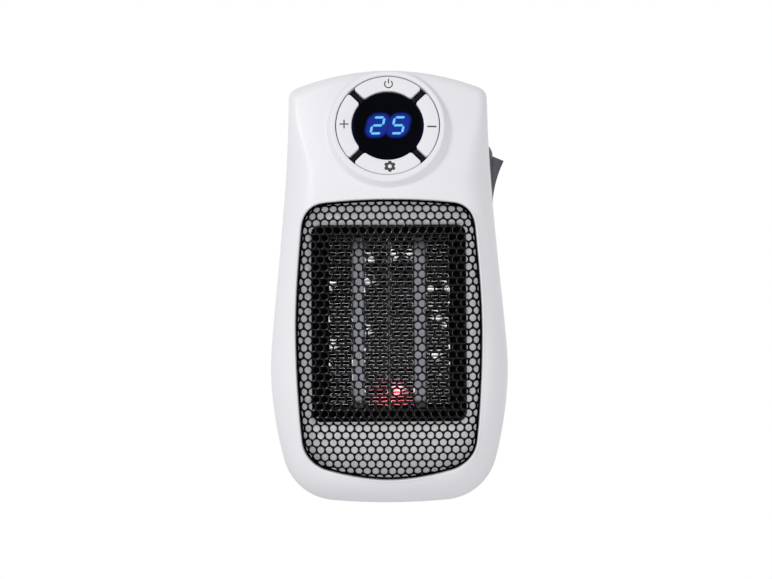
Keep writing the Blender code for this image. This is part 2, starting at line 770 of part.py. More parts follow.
def make_front_shell():
    tip = (0, HEATER_Y, float(face_depth(0.0, HEATER_Y)))
    shell = skin("front_shell", front_rings(), housing, WHITE, end=tip)
    smooth(shell)
    thicken(shell, WALL, -1)
    high_top = float(face_depth(HIGH_BOSS_X, HIGH_BOSS_Y)) - WALL
    low_top = BOSS_FOOT + LOW_BOSS_LENGTH
    places = both(HIGH_BOSS_X, HIGH_BOSS_Y)
    join(shell, cylinders("high_boss_tool", BOSS_OUTER, BOSS_FOOT, high_top, places, housing))
    places = both(LOW_BOSS_X, LOW_BOSS_Y)
    join(shell, cylinders("low_boss_tool", BOSS_OUTER, BOSS_FOOT, low_top, places, housing))
    for name, side in (("left_rib_tool", -1), ("right_rib_tool", 1)):
        ends = sorted((side * LOW_BOSS_X, side * (half_width_at(LOW_BOSS_Y) - DRAFT - WALL / 2)))
        low = (ends[0], LOW_BOSS_Y - LOW_BOSS_RIB / 2, PARTING + TONGUE_HEIGHT + CLEARANCE * 2)
        high = (ends[1], LOW_BOSS_Y + LOW_BOSS_RIB / 2, low_top - OVERRUN)
        join(shell, place(name, box(name, low, high), housing))
    outer = RING_RADIUS + COLLAR_WALL
    collar = [
        (0, COLLAR_RISE),
        (outer - COLLAR_CHAMFER, COLLAR_RISE),
        (outer, COLLAR_RISE - COLLAR_CHAMFER),
        (outer, -SLEEVE_LENGTH),
        (0, -SLEEVE_LENGTH),
    ]
    join(shell, turned("collar_tool", collar, panel))
    low = -SLEEVE_LENGTH - OVERRUN
    high = COLLAR_RISE + OVERRUN
    bore = cylinders("control_bore_tool", RING_RADIUS, low, high, [(0, 0)], panel, steps=ROUND_STEPS)
    cut(shell, bore)
    back = BAFFLE_FRONT - BAFFLE_SHEET - OVERRUN
    cut(shell, plate("window_tool", [window_outline()], back, DEPTH + OVERRUN, housing))
    hole = SCREW_RADIUS + CLEARANCE
    low = BOSS_FOOT - OVERRUN
    high = BOSS_FOOT + SCREW_LENGTH
    cut(shell, cylinders("pilots_tool", hole, low, high, SCREW_PLACES, housing, steps=FINE_STEPS))


# Back shell: a tray with intake slots, screw wells, posts, a tongue and the hole that the plug turns in


def make_back_shell():
    rings = back_rings()
    shell = skin("back_shell", rings, housing, WHITE, start_face=True)
    smooth(shell)
    thicken(shell, WALL, -1)
    top = PARTING - CLEARANCE
    tongue = [
        (WALL / 2, top - TONGUE_ROOT),
        (WALL + CLEARANCE, top - CLEARANCE),
        (WALL + CLEARANCE, top + TONGUE_HEIGHT),
        (WALL + CLEARANCE + TONGUE_WALL, top + TONGUE_HEIGHT),
        (WALL + CLEARANCE + TONGUE_WALL, top - TONGUE_ROOT),
    ]
    outline = body_outline()
    loops = [with_depth(inset(outline, step), depth) for step, depth in tongue]
    join(shell, skin("tongue_tool", loops, housing, around=True))
    foot = WALL / 2
    join(shell, cylinders("bosses_tool", BOSS_OUTER, foot, top, SCREW_PLACES, housing))
    post_top = SHROUD_FRONT - SHROUD_FLANGE - CLEARANCE
    places = both(SHROUD_POST_X, HEATER_Y + SHROUD_POST_Y) + both(SHROUD_POST_X, HEATER_Y - SHROUD_POST_Y)
    join(shell, cylinders("shroud_posts_tool", SHROUD_POST, foot, post_top, places, housing))
    post_top = POWER_BOARD_DEPTH - CLEARANCE
    places = both(BOARD_POST_X, POWER_BOARD_Y)
    join(shell, cylinders("board_posts_tool", BOARD_POST, foot, post_top, places, housing))
    post_top = SENSOR_STAND - CLEARANCE
    places = [(SENSOR_X, SENSOR_Y)]
    join(shell, cylinders("sensor_post_tool", SENSOR_POST, foot, post_top, places, housing))
    well = SCREW_HEAD_RADIUS + CLEARANCE
    cut(shell, cylinders("screw_wells_tool", well, -OVERRUN, WELL_FLOOR, SCREW_PLACES, housing))
    hole = SCREW_RADIUS + CLEARANCE
    low = WELL_FLOOR - OVERRUN
    high = PARTING + OVERRUN
    cut(shell, cylinders("screw_holes_tool", hole, low, high, SCREW_PLACES, housing, steps=FINE_STEPS))
    hole = NECK_RADIUS + CLEARANCE
    high = WALL + OVERRUN
    places = [(0, PLUG_HEIGHT)]
    cut(shell, cylinders("plug_hole_tool", hole, -OVERRUN, high, places, housing, steps=ROUND_STEPS))
    slots = []
    for k in range(SLOT_COUNT):
        y = SLOT_FIRST + k * SLOT_PITCH
        slots.append(rounded_rectangle(SLOT_LENGTH / 2, SLOT_WIDTH / 2, SLOT_WIDTH / 2, y))
    cut(shell, plate("slots_tool", slots, -OVERRUN, WALL + OVERRUN, housing))
    seat = bezel_outline(CLEARANCE)
    seat_tool = plate("bezel_seat_tool", [seat], -BEZEL_THICKNESS - CLEARANCE, OVERRUN * 2, switch)
    seat_tool.rotation_euler = SIDEWAYS
    opening = rounded_rectangle(
        SWITCH_BODY_LENGTH / 2 + CLEARANCE, SWITCH_BODY_WIDTH / 2 + CLEARANCE, SWITCH_WALL
    )
    opening_tool = plate("switch_opening_tool", [opening], -WALL * 2 - OVERRUN, OVERRUN, switch)
    opening_tool.rotation_euler = SIDEWAYS
    cut(shell, seat_tool, opening_tool)


# Rocker switch in the right wall: outlines are drawn with their length along x, then turned upright
# to face out of that wall

SIDEWAYS = (math.radians(90), 0, math.radians(90))


def bezel_outline(grow=0.0):
    return rounded_rectangle(
        BEZEL_LENGTH / 2 + grow, BEZEL_WIDTH / 2 + grow, BEZEL_CORNER + grow, corner_steps=STADIUM_STEPS
    )


def make_switch():
    made = plate("switch_housing", [bezel_outline()], -BEZEL_THICKNESS, 0, switch, DARK_GREY)
    made.rotation_euler = SIDEWAYS
    body_back = -SWITCH_BODY_DEPTH
    length = SWITCH_BODY_LENGTH / 2
    width = SWITCH_BODY_WIDTH / 2
    body = box("switch_body", (body_back, -length, -width), (-BEZEL_THICKNESS / 2, length, width))
    join(made, place("switch_body_tool", body, switch))
    length = ROCKER_LENGTH / 2 + CLEARANCE * 2
    width = ROCKER_WIDTH / 2 + CLEARANCE
    well = box("well", (-WELL_DEPTH, -length, -width), (OVERRUN, length, width))
    cut(made, place("switch_well_tool", well, switch))
    for k, side in enumerate((1, -1), 1):
        y = side * TERMINAL_SPACING / 2
        low = (body_back - TERMINAL_LENGTH, y - TERMINAL_SHEET / 2, -TERMINAL_WIDTH / 2)
        high = (body_back - CLEARANCE, y + TERMINAL_SHEET / 2, TERMINAL_WIDTH / 2)
        place(f"switch_terminal_{k}", box("terminal", low, high), switch, BRASS)


def make_rocker():
    """A block with a dished top between two raised tips, narrowing to its foot in the well."""
    half = ROCKER_LENGTH / 2
    shoulder = ROCKER_TIP - ROCKER_ROOT * 2
    profile = [
        (-ROCKER_ROOT, -half * ROCKER_FOOT_SHARE),
        (shoulder, -half * ROCKER_END_SHARE),
        (ROCKER_TIP, -half),
        (ROCKER_TIP - ROCKER_DISH, 0),
        (ROCKER_TIP, half),
        (shoulder, half * ROCKER_END_SHARE),
        (-ROCKER_ROOT, half * ROCKER_FOOT_SHARE),
    ]
    rocker = plate("rocker", [profile], -ROCKER_WIDTH / 2, ROCKER_WIDTH / 2, rocker_axis, DARK_GREY)
    bevel(rocker, PART_EDGE)


# Grille: a perforated sheet that follows the front face, with a border turned back towards the shell


def hexagons_within(outline):
    """The honeycomb's holes, in rows about an outline's mid height, that lie wholly inside it."""
    radius = (GRILLE_PITCH - GRILLE_BAR) / math.sqrt(3)
    row_step = GRILLE_PITCH * math.sqrt(3) / 2
    rows = int(HEIGHT / 2 / row_step)
    columns = int(WIDTH / 2 / GRILLE_PITCH)
    hexagon = np.array([polar(radius, 90 + 60 * k) for k in range(6)])
    mid_height = (outline[:, 1].min() + outline[:, 1].max()) / 2
    holes = []
    for row in range(-rows, rows):
        for column in range(-columns, columns + 1):
            middle = ((column + (row % 2) / 2) * GRILLE_PITCH, mid_height + (row + 0.5) * row_step)
            if inside(hexagon + middle, outline, GRILLE_MARGIN):
                holes.append(hexagon + middle)
    return holes


def inside(points, outline, margin):
    """Whether all the points lie inside a symmetric outline, further than a margin from it."""
    steps = np.arange(OUTLINE_STEPS)[:, None, None] / OUTLINE_STEPS
    along = (outline + (np.roll(outline, -1, axis=0) - outline) * steps).reshape(-1, 2)
    gaps = np.linalg.norm(points[:, None, :] - along[None, :, :], axis=2)
    nearest = along[gaps.argmin(axis=1)]
    middle = np.array((0, HEATER_Y))
    inner = np.linalg.norm(points - middle, axis=1) < np.linalg.norm(nearest - middle, axis=1)
    return bool(inner.all() and gaps.min() > margin)


def make_grille():
    edge = inset(window_outline(), CLEARANCE)
    flat_edge = inset(edge, GRILLE_BEND)
    sheet = plate(
        "grille_mesh", [flat_edge] + hexagons_within(flat_edge), 0, 0, housing, BLACK_METAL, faces="FRONT"
    )
    work = bmesh.new()
    work.from_mesh(sheet.data)
    bmesh.ops.beautify_fill(work, faces=work.faces[:], edges=work.edges[:])
    for vertex in work.verts:
        vertex.co.z = face_depth(vertex.co.x, vertex.co.y) - GRILLE_RECESS
    if work.faces[:][0].normal.z < 0:
        bmesh.ops.reverse_faces(work, faces=work.faces)
    rows = []
    for k in range(GRILLE_BEND_STEPS + 1):
        angle = math.pi / 2 * k / GRILLE_BEND_STEPS
        flat = inset(edge, GRILLE_BEND * (1 - math.sin(angle)))
        depth = face_depth(*flat.T) - GRILLE_RECESS - GRILLE_BEND * (1 - math.cos(angle))
        rows.append([work.verts.new(point) for point in with_depth(flat, depth)])
    for inner, outer in zip(rows, rows[1:]):
        for i in range(len(inner)):
            j = (i + 1) % len(inner)
            work.faces.new((outer[i], outer[j], inner[j], inner[i]))
    bmesh.ops.remove_doubles(work, verts=work.verts, dist=MERGE_DISTANCE)
    work.to_mesh(sheet.data)
    work.free()
    smooth(sheet)
    thicken(sheet, GRILLE_SHEET, -1)


# Baffle: a flat plate behind the grille, folded back below, with the outlet's rectangle in it


def make_baffle():
    edge = inset(window_outline(), -BAFFLE_LAP)
    hole = rounded_rectangle(OUTLET_WIDTH / 2, OUTLET_HEIGHT / 2, OUTLET_CORNER, HEATER_Y)
    back = BAFFLE_FRONT - BAFFLE_SHEET
    baffle = plate("air_baffle", [edge, hole], back, BAFFLE_FRONT, housing, GREY_PLASTIC)
    work = bmesh.new()
    work.from_mesh(baffle.data)
    everything = list(work.verts) + list(work.edges) + list(work.faces)
    bmesh.ops.bisect_plane(work, geom=everything, plane_co=(0, BAFFLE_FOLD_HEIGHT, 0), plane_no=(0, 1, 0))
    for vertex in work.verts:
        below = BAFFLE_FOLD_HEIGHT - vertex.co.y
        if below > 0:
            vertex.co.z -= below * BAFFLE_FOLD_SLOPE
    work.to_mesh(baffle.data)
    work.free()


# Heating element in its frame


def make_ptc_frame():
    outer = rounded_rectangle(FRAME_HALF_WIDTH, FRAME_HALF_HEIGHT, OUTLET_CORNER + FRAME_WALL)
    frame = plate("ptc_frame", [outer], FRAME_BACK, FRAME_FRONT, heater, BLACK_PLASTIC)
    room = rounded_rectangle(OUTLET_WIDTH / 2, OUTLET_HEIGHT / 2, OUTLET_CORNER)
    ledge_back = ELEMENT_MIDDLE - LEDGE_DEPTH / 2
    ledge_front = ELEMENT_MIDDLE + LEDGE_DEPTH / 2
    cut(frame, plate("front_room_tool", [room], ledge_front, FRAME_FRONT + OVERRUN, heater))
    cut(frame, plate("back_room_tool", [room], FRAME_BACK - OVERRUN, ledge_back, heater))
    half = (ELEMENT_HALF_WIDTH + CLEARANCE, ELEMENT_HEIGHT / 2 + CLEARANCE)
    seat = box("seat", (-half[0], -half[1], ledge_back - OVERRUN), (half[0], half[1], ledge_front + OVERRUN))
    cut(frame, place("element_seat_tool", seat, heater))
    reach = TAB_WIDTH / 2 + CLEARANCE
    for name, x, sheet in (("contact_slot_tool", 0, CONTACT_PLATE), ("tube_slot_tool", -TUBE_X, TAB_SHEET)):
        side = sheet / 2 + CLEARANCE
        low = (x - side, -FRAME_HALF_HEIGHT - OVERRUN, ELEMENT_MIDDLE - reach)
        high = (x + side, -ELEMENT_HEIGHT / 2 + OVERRUN, ELEMENT_MIDDLE + reach)
        cut(frame, place(name, box(name, low, high), heater))


def make_fins(name, left):
    """A strip folded to and fro between two neighbours, thickened to its sheet."""
    low = -ELEMENT_HEIGHT / 2 + FIN_SHEET
    step = (ELEMENT_HEIGHT - 2 * FIN_SHEET) / (FIN_COUNT - 1)
    ends = (left + FIN_SHEET / 2, left + FIN_WIDTH - FIN_SHEET / 2)
    line = []
    for k in range(FIN_COUNT):
        first, second = ends if k % 2 == 0 else ends[::-1]
        line += [(first, low + k * step), (second, low + k * step)]
    work = bmesh.new()
    back = [work.verts.new((x, y, ELEMENT_BACK)) for x, y in line]
    front = [work.verts.new((x, y, ELEMENT_BACK + ELEMENT_DEPTH)) for x, y in line]
    for i in range(len(line) - 1):
        work.faces.new((back[i], back[i + 1], front[i + 1], front[i]))
    thicken(place(name, mesh_from(work, name), heater, ALUMINIUM), FIN_SHEET, 0)


def tab(name, x, sheet):
    """A contact tongue that goes down through the frame's ledge and bottom wall."""
    low = (x - sheet / 2, -FRAME_HALF_HEIGHT - TAB_REACH, ELEMENT_MIDDLE - TAB_WIDTH / 2)
    high = (x + sheet / 2, -ELEMENT_HEIGHT / 2 + OVERRUN, ELEMENT_MIDDLE + TAB_WIDTH / 2)
    return place(name, box(name, low, high), heater)


def make_element():
    inner = CONTACT_PLATE / 2 + CLEARANCE
    outer = TUBE_X + TUBE_WIDTH / 2 + CLEARANCE
    make_fins("fin_stack_1", -outer - FIN_WIDTH)
    make_fins("fin_stack_2", -inner - FIN_WIDTH)
    make_fins("fin_stack_3", inner)
    make_fins("fin_stack_4", outer)
    bottom = -ELEMENT_HEIGHT / 2
    for name, x in (("element_tube_left", -TUBE_X), ("element_tube_right", TUBE_X)):
        low = (x - TUBE_WIDTH / 2, bottom, ELEMENT_MIDDLE - TUBE_DEPTH / 2)
        high = (x + TUBE_WIDTH / 2, -bottom, ELEMENT_MIDDLE + TUBE_DEPTH / 2)
        made = bevel(place(name, box(name, low, high), heater, TUBE_GREY), PART_EDGE)
        if x < 0:
            join(made, tab("tube_tab_tool", x, TAB_SHEET))
    low = (-CONTACT_PLATE / 2, bottom, ELEMENT_BACK)
    high = (CONTACT_PLATE / 2, -bottom, ELEMENT_BACK + ELEMENT_DEPTH)
    contact = place("contact_plate", box("contact_plate", low, high), heater, ALUMINIUM)
    join(contact, tab("contact_tab_tool", 0, CONTACT_PLATE))


# Fan: shroud with its motor spider, motor, shaft and impeller


def spider_outline():
    """A hub with straight arms that end inside the wall of the ring."""
    points = []
    reach = SHROUD_BORE + SHROUD_RING / 2
    half = math.asin(SPIDER_ARM / 2 / SPIDER_HUB_RADIUS)
    for k in range(SPIDER_ARMS):
        middle = math.pi / 2 + 2 * math.pi * k / SPIDER_ARMS
        out = Vector((math.cos(middle), math.sin(middle)))
        side = Vector((-out.y, out.x)) * SPIDER_ARM / 2
        points.append(tuple(out * math.sqrt(reach**2 - (SPIDER_ARM / 2) ** 2) - side))
        points.append(tuple(out * math.sqrt(reach**2 - (SPIDER_ARM / 2) ** 2) + side))
        span = 2 * math.pi / SPIDER_ARMS - 2 * half
        for step in range(SPIDER_HUB_STEPS + 1):
            angle = middle + half + span * step / SPIDER_HUB_STEPS
            points.append((SPIDER_HUB_RADIUS * math.cos(angle), SPIDER_HUB_RADIUS * math.sin(angle)))
    return points


def make_shroud():
    outer = rounded_rectangle(
        FRAME_HALF_WIDTH + FLANGE_LAP, FRAME_HALF_HEIGHT + FLANGE_LAP, OUTLET_CORNER + FRAME_WALL
    )
    back = SHROUD_FRONT - SHROUD_FLANGE
    shroud = plate("fan_shroud", [outer, circle(SHROUD_BORE)], back, SHROUD_FRONT, heater, FAN_GREY)
    inner = SHROUD_BORE
    wall = SHROUD_BORE + SHROUD_RING
    middle = back + SHROUD_FLANGE / 2
    ring = [(wall, middle), (wall, SPIDER_BACK), (inner, SPIDER_BACK), (inner, middle)]
    join(shroud, turned("ring_tool", ring, heater, closed=True))
    hole = circle(MOTOR_NECK_RADIUS + CLEARANCE, SMALL_STEPS)
    low = SPIDER_BACK + CLEARANCE
    high = SPIDER_BACK + SPIDER_SHEET
    join(shroud, plate("spider_tool", [spider_outline(), hole], low, high, heater))


def make_motor():
    back = MOTOR_BACK
    front = MOTOR_BACK + MOTOR_LENGTH
    neck = front + MOTOR_NECK_LENGTH
    bore = SHAFT_RADIUS + CLEARANCE
    can = [
        (0, front - SHAFT_BORE_DEPTH),
        (bore, front - SHAFT_BORE_DEPTH),
        (bore, neck),
        (MOTOR_NECK_RADIUS, neck),
        (MOTOR_NECK_RADIUS, front),
        (MOTOR_RADIUS - PART_EDGE, front),
        (MOTOR_RADIUS, front - PART_EDGE),
        (MOTOR_RADIUS, back + PART_EDGE),
        (MOTOR_RADIUS - PART_EDGE, back),
        (0, back),
    ]
    smooth(turned("motor_can", can, heater, STEEL, steps=MIDDLE_STEPS))
    low = front - SHAFT_BORE_DEPTH + CLEARANCE
    high = FAN_DEPTH + HUB_LENGTH / 2 - HUB_WALL - CLEARANCE
    smooth(cylinders("motor_shaft", SHAFT_RADIUS, low, high, [(0, 0)], heater, STEEL, FINE_STEPS))


def blade_rings(turn):
    """Sections of one blade from inside the hub wall to the tip, each a thin cambered strip."""
    rings = []
    inner = HUB_RADIUS - BLADE_SINK
    outer = SHROUD_BORE - TIP_GAP
    for share in BLADE_SECTION_SHARES:
        radius = inner + (outer - inner) * share
        chord = BLADE_CHORD_ROOT + (BLADE_CHORD_TIP - BLADE_CHORD_ROOT) * share
        pitch = BLADE_PITCH_ROOT + (BLADE_PITCH_TIP - BLADE_PITCH_ROOT) * share
        ring = []
        for side, shares in ((1, BLADE_CHORD_SHARES), (-1, BLADE_CHORD_SHARES[::-1])):
            for along in shares:
                camber = BLADE_CAMBER * (1 - 4 * along**2) + side * BLADE_SHEET / 2
                around = along * chord * math.cos(pitch) - camber * math.sin(pitch)
                depth = along * chord * math.sin(pitch) + camber * math.cos(pitch)
                angle = turn + around / radius
                ring.append((radius * math.cos(angle), radius * math.sin(angle), depth))
        rings.append(ring)
    return rings


def make_impeller():
    half = HUB_LENGTH / 2
    hub = [
        (0, half),
        (HUB_RADIUS - HUB_WALL, half),
        (HUB_RADIUS, half - HUB_WALL),
        (HUB_RADIUS, -half),
        (HUB_RADIUS - HUB_WALL, -half),
        (HUB_RADIUS - HUB_WALL, half - 2 * HUB_WALL),
        (SHAFT_RADIUS + CLEARANCE + HUB_WALL, half - 2 * HUB_WALL),
        (SHAFT_RADIUS + CLEARANCE + HUB_WALL, -half + HUB_WALL),
        (SHAFT_RADIUS + CLEARANCE, -half + HUB_WALL),
        (SHAFT_RADIUS + CLEARANCE, half - HUB_WALL),
        (0, half - HUB_WALL),
    ]
    impeller = smooth(turned("impeller", hub, rotor, FAN_GREY, steps=MIDDLE_STEPS))
    work = bmesh.new()
    for k in range(BLADES):
        rows = [[work.verts.new(p) for p in ring] for ring in blade_rings(2 * math.pi * k / BLADES)]
        for low, high in zip(rows, rows[1:]):
            for i in range(len(low)):
                j = (i + 1) % len(low)
                work.faces.new((low[i], low[j], high[j], high[i]))
        work.faces.new(rows[0][::-1])
        work.faces.new(rows[-1])
    bmesh.ops.recalc_face_normals(work, faces=work.faces)
    join(impeller, place("blades_tool", mesh_from(work, "blades"), rotor))


# Control panel: button frame, lens, digit module, board, tact switches and the four buttons


def make_button_frame():
    outer = RING_RADIUS - CLEARANCE
    flange = RING_RADIUS + COLLAR_WALL - CLEARANCE
    profile = [
        (outer, PLATE_TOP),
        (outer, FLANGE_FRONT),
        (flange, FLANGE_FRONT),
        (flange, FLANGE_BACK),
        (outer - FRAME_SKIRT, FLANGE_BACK),
        (outer - FRAME_SKIRT, PLATE_BACK),
        (FRAME_EYE, PLATE_BACK),
        (FRAME_EYE, PLATE_TOP),
    ]
    frame = turned("button_frame", profile, panel, BLACK_PLASTIC, closed=True)
    for degrees in RIB_TURNS:
        low = (LENS_RADIUS + CLEARANCE, -FRAME_RIB / 2, PLATE_BACK + PLATE_THICKNESS / 2)
        high = (outer - CLEARANCE, FRAME_RIB / 2, BUTTON_TOP - FRAME_RIB_DROP)
        turn = (0, 0, math.radians(degrees))
        join(frame, place(f"rib_{degrees}_tool", box("rib", low, high), panel, rotation=turn))
    low = CONTROL_BOARD_FRONT + CLEARANCE
    high = PLATE_BACK + CLEARANCE
    places = [polar(LEG_RING_RADIUS, degrees) for degrees in RIB_TURNS]
    join(frame, cylinders("legs_tool", LEG_RADIUS, low, high, places, panel, steps=FINE_STEPS))
    hole = BUTTON_POST + POST_HOLE_GAP
    low = PLATE_BACK - OVERRUN / 2
    high = PLATE_TOP + OVERRUN / 2
    places = [polar(BUTTON_POST_RING, degrees) for _, degrees in BUTTON_TURNS]
    cut(frame, cylinders("post_holes_tool", hole, low, high, places, panel, steps=FINE_STEPS))


def button_outline(degrees):
    """A quarter of a ring whose ends run along the diagonals, half a gap away from them."""
    points = []
    sides = ((BUTTON_OUTER, 1, BUTTON_OUTER_STEPS), (BUTTON_INNER, -1, BUTTON_INNER_STEPS))
    for radius, way, steps in sides:
        half = 45 - math.degrees(math.asin(BUTTON_GAP / 2 / radius))
        for k in range(steps + 1):
            points.append(polar(radius, degrees + way * half * (2 * k / steps - 1)))
    return points


def make_buttons():
    """Each button stands on a post over its tact switch on the board."""
    back = BUTTON_TOP - BUTTON_THICKNESS
    tact_back = CONTROL_BOARD_FRONT + CLEARANCE
    tact_top = tact_back + TACT_HEIGHT
    plunger_top = tact_top + TACT_PLUNGER_HEIGHT
    post_end = plunger_top + BUTTON_TRAVEL + CLEARANCE
    post_top = back + BUTTON_EDGE + CLEARANCE
    half = TACT_SIZE / 2
    for word, degrees in BUTTON_TURNS:
        x, y = polar(BUTTON_POST_RING, degrees)
        outline = button_outline(degrees)
        button = plate(f"button_{word}", [outline], back, BUTTON_TOP, panel, BUTTON_WHITE)
        bevel(button, BUTTON_EDGE)
        post = f"button_post_{word}_tool"
        join(button, cylinders(post, BUTTON_POST, post_end, post_top, [(x, y)], panel, steps=FINE_STEPS))
        body = box("tact_switch", (x - half, y - half, tact_back), (x + half, y + half, tact_top))
        tact = place(f"tact_switch_{word}", body, panel, BLACK_PLASTIC)
        plunger = f"plunger_{word}_tool"
        low = tact_top - CLEARANCE
        join(
            tact,
            cylinders(plunger, TACT_PLUNGER_RADIUS, low, plunger_top, [(x, y)], panel, steps=FINE_STEPS),
        )


def make_panel():
    make_button_frame()
    make_buttons()
    back = LENS_TOP - LENS_THICKNESS
    lens = [
        (0, LENS_TOP),
        (LENS_RADIUS - LENS_EDGE, LENS_TOP),
        (LENS_RADIUS, LENS_TOP - LENS_EDGE),
        (LENS_RADIUS, back),
        (0, back),
    ]
    smooth(turned("display_lens", lens, panel, LENS_BLACK))
    half_width = DIGIT_MODULE_WIDTH / 2
    half_height = DIGIT_MODULE_HEIGHT / 2
    low = (-half_width, -half_height, CONTROL_BOARD_FRONT + CLEARANCE)
    module = box("display_module", low, (half_width, half_height, back - CLEARANCE))
    place("display_module", module, panel, BLACK_PLASTIC)
    board = [circle(BOARD_RADIUS, MIDDLE_STEPS)]
    back = CONTROL_BOARD_FRONT - BOARD_SHEET
    plate("control_board", board, back, CONTROL_BOARD_FRONT, panel, BOARD_GREEN)


# Plug, its retainer and the screws


def screw(name, x, y, depth, length, parent, forwards=True):
    """A screw whose head's underside lies at a depth, with its shank running forwards or back."""
    way = 1 if forwards else -1
    profile = [
        (0, depth - way * SCREW_HEAD_HEIGHT),
        (SCREW_HEAD_RADIUS, depth - way * SCREW_HEAD_HEIGHT),
        (SCREW_HEAD_RADIUS, depth),
        (SCREW_RADIUS, depth),
        (SCREW_RADIUS, depth + way * length),
        (0, depth + way * length),
    ]
    if forwards:
        profile = profile[::-1]
    return smooth(turned(name, profile, parent, STEEL, steps=FINE_STEPS, location=(x, y, 0)))


def make_plug():
    disc_back = BOSS_LENGTH + DISC_THICKNESS
    profile = [
        (0, PIN_SEAT + BOSS_EDGE),
        (NECK_BORE, PIN_SEAT + BOSS_EDGE),
        (NECK_BORE, NECK_END),
        (NECK_RADIUS, NECK_END),
        (NECK_RADIUS, disc_back),
        (DISC_RADIUS, disc_back),
        (DISC_RADIUS, BOSS_LENGTH + DISC_EDGE),
        (DISC_RADIUS - DISC_EDGE, BOSS_LENGTH),
        (BOSS_RADIUS, BOSS_LENGTH),
        (BOSS_RADIUS, BOSS_EDGE),
        (BOSS_RADIUS - BOSS_EDGE, 0),
        (0, 0),
    ]
    body = smooth(turned("plug_body", profile, plug, WHITE))
    seats = both(PIN_SPACING / 2, 0)
    cut(body, cylinders("pin_seats_tool", PIN_RADIUS + PIN_FIT, -OVERRUN, PIN_SEAT, seats, plug))
    for k, side in enumerate((1, -1), 1):
        ends = sorted((side * (BOSS_RADIUS - GROOVE_DEPTH), side * (BOSS_RADIUS + OVERRUN)))
        low = (ends[0], -GROOVE_WIDTH / 2, -OVERRUN)
        groove = box("groove", low, (ends[1], GROOVE_WIDTH / 2, CLIP_SLOT_LENGTH))
        cut(body, place(f"groove_{k}_tool", groove, plug))
        ends = sorted((side * (BOSS_RADIUS - CLIP_SLOT_DEPTH), side * (BOSS_RADIUS + OVERRUN)))
        low = (-CLIP_SLOT_WIDTH / 2, ends[0], -OVERRUN)
        slot = box("clip_slot", low, (CLIP_SLOT_WIDTH / 2, ends[1], CLIP_SLOT_LENGTH))
        cut(body, place(f"clip_slot_{k}_tool", slot, plug))
    low = NECK_END - SHORT_SCREW_LENGTH - CLEARANCE
    hole = SCREW_RADIUS + CLEARANCE
    high = NECK_END + OVERRUN
    cut(body, cylinders("retainer_pilots_tool", hole, low, high, RETAINER_PLACES, plug, steps=FINE_STEPS))


def make_pins():
    for name, side in (("plug_pin_left", -1), ("plug_pin_right", 1)):
        profile = [
            (0, PIN_SEAT - CLEARANCE),
            (PIN_RADIUS, PIN_SEAT - CLEARANCE),
            (PIN_RADIUS, -PIN_LENGTH + PIN_TIP),
            (PIN_RADIUS - PIN_TIP, -PIN_LENGTH),
            (0, -PIN_LENGTH),
        ]
        place_at = (side * PIN_SPACING / 2, 0, 0)
        smooth(turned(name, profile, plug, BRASS, steps=SMALL_STEPS, location=place_at))


def make_clips():
    """A sprung earth strip in each slot: flat at its ends and bowed out between them."""
    for name, side in (("earth_clip_top", 1), ("earth_clip_bottom", -1)):
        floor = BOSS_RADIUS - CLIP_SLOT_DEPTH + CLEARANCE
        span = CLIP_SLOT_LENGTH - 2 * CLEARANCE
        line = [(floor + CLIP_BOW * bow, CLEARANCE + span * share) for share, bow in CLIP_BOW_SHARES]
        work = bmesh.new()
        left = [work.verts.new((-CLIP_WIDTH / 2, side * y, z)) for y, z in line]
        right = [work.verts.new((CLIP_WIDTH / 2, side * y, z)) for y, z in line]
        for i in range(len(line) - 1):
            corners = (left[i], right[i], right[i + 1], left[i + 1])
            work.faces.new(corners if side > 0 else corners[::-1])
        thicken(place(name, mesh_from(work, name), plug, BRASS), CLIP_SHEET, 1)


def make_swivel():
    low = SOCKET_TO_BACK + WALL + CLEARANCE
    high = low + WASHER_SHEET
    inner = NECK_RADIUS + CLEARANCE
    outer = RETAINER_RADIUS - CLEARANCE
    washer = [(outer, high), (outer, low), (inner, low), (inner, high)]
    turned("spring_washer", washer, plug, STEEL, closed=True)
    low = NECK_END + CLEARANCE
    high = low + RETAINER_SHEET
    ring = [(RETAINER_RADIUS, high), (RETAINER_RADIUS, low), (NECK_BORE, low), (NECK_BORE, high)]
    retainer = turned("swivel_retainer", ring, plug, BLACK_PLASTIC, closed=True)
    hole = SCREW_RADIUS + CLEARANCE
    ends = (low - OVERRUN / 2, high + OVERRUN / 2)
    cut(retainer, cylinders("retainer_holes_tool", hole, *ends, RETAINER_PLACES, plug, steps=FINE_STEPS))
    for k, (x, y) in enumerate(RETAINER_PLACES, 1):
        screw(f"retainer_screw_{k}", x, y, high + CLEARANCE, SHORT_SCREW_LENGTH, plug, forwards=False)


def make_housing_screws():
    length = BOSS_FOOT - WELL_FLOOR + SCREW_LENGTH - CLEARANCE
    for k, (x, y) in enumerate(SCREW_PLACES, 1):
        screw(f"housing_screw_{k}", x, y, WELL_FLOOR - CLEARANCE, length, housing)


# Electronics and safety parts


def standing_box(name, size, x, y, back, finish):
    low = (x - size[0] / 2, y - size[1] / 2, back)
    high = (x + size[0] / 2, y + size[1] / 2, back + size[2])
    return bevel(place(name, box(name, low, high), housing, finish), PART_EDGE)


def from_place(place_at, steps):
    """Points of a route, given as steps from one place."""
    return [tuple(np.add(place_at, step)) for step in steps]


def heater_route(start_x, start_bends, end_x, end_bends):
    """A heater lead's points: from the power board's front to the foot of a contact tab."""
    start = (start_x, POWER_BOARD_Y + LEAD_START_RISE, LEAD_START_DEPTH)
    end = (end_x, LEAD_END_Y, ELEMENT_MIDDLE)
    return from_place(start, start_bends) + from_place(end, end_bends)


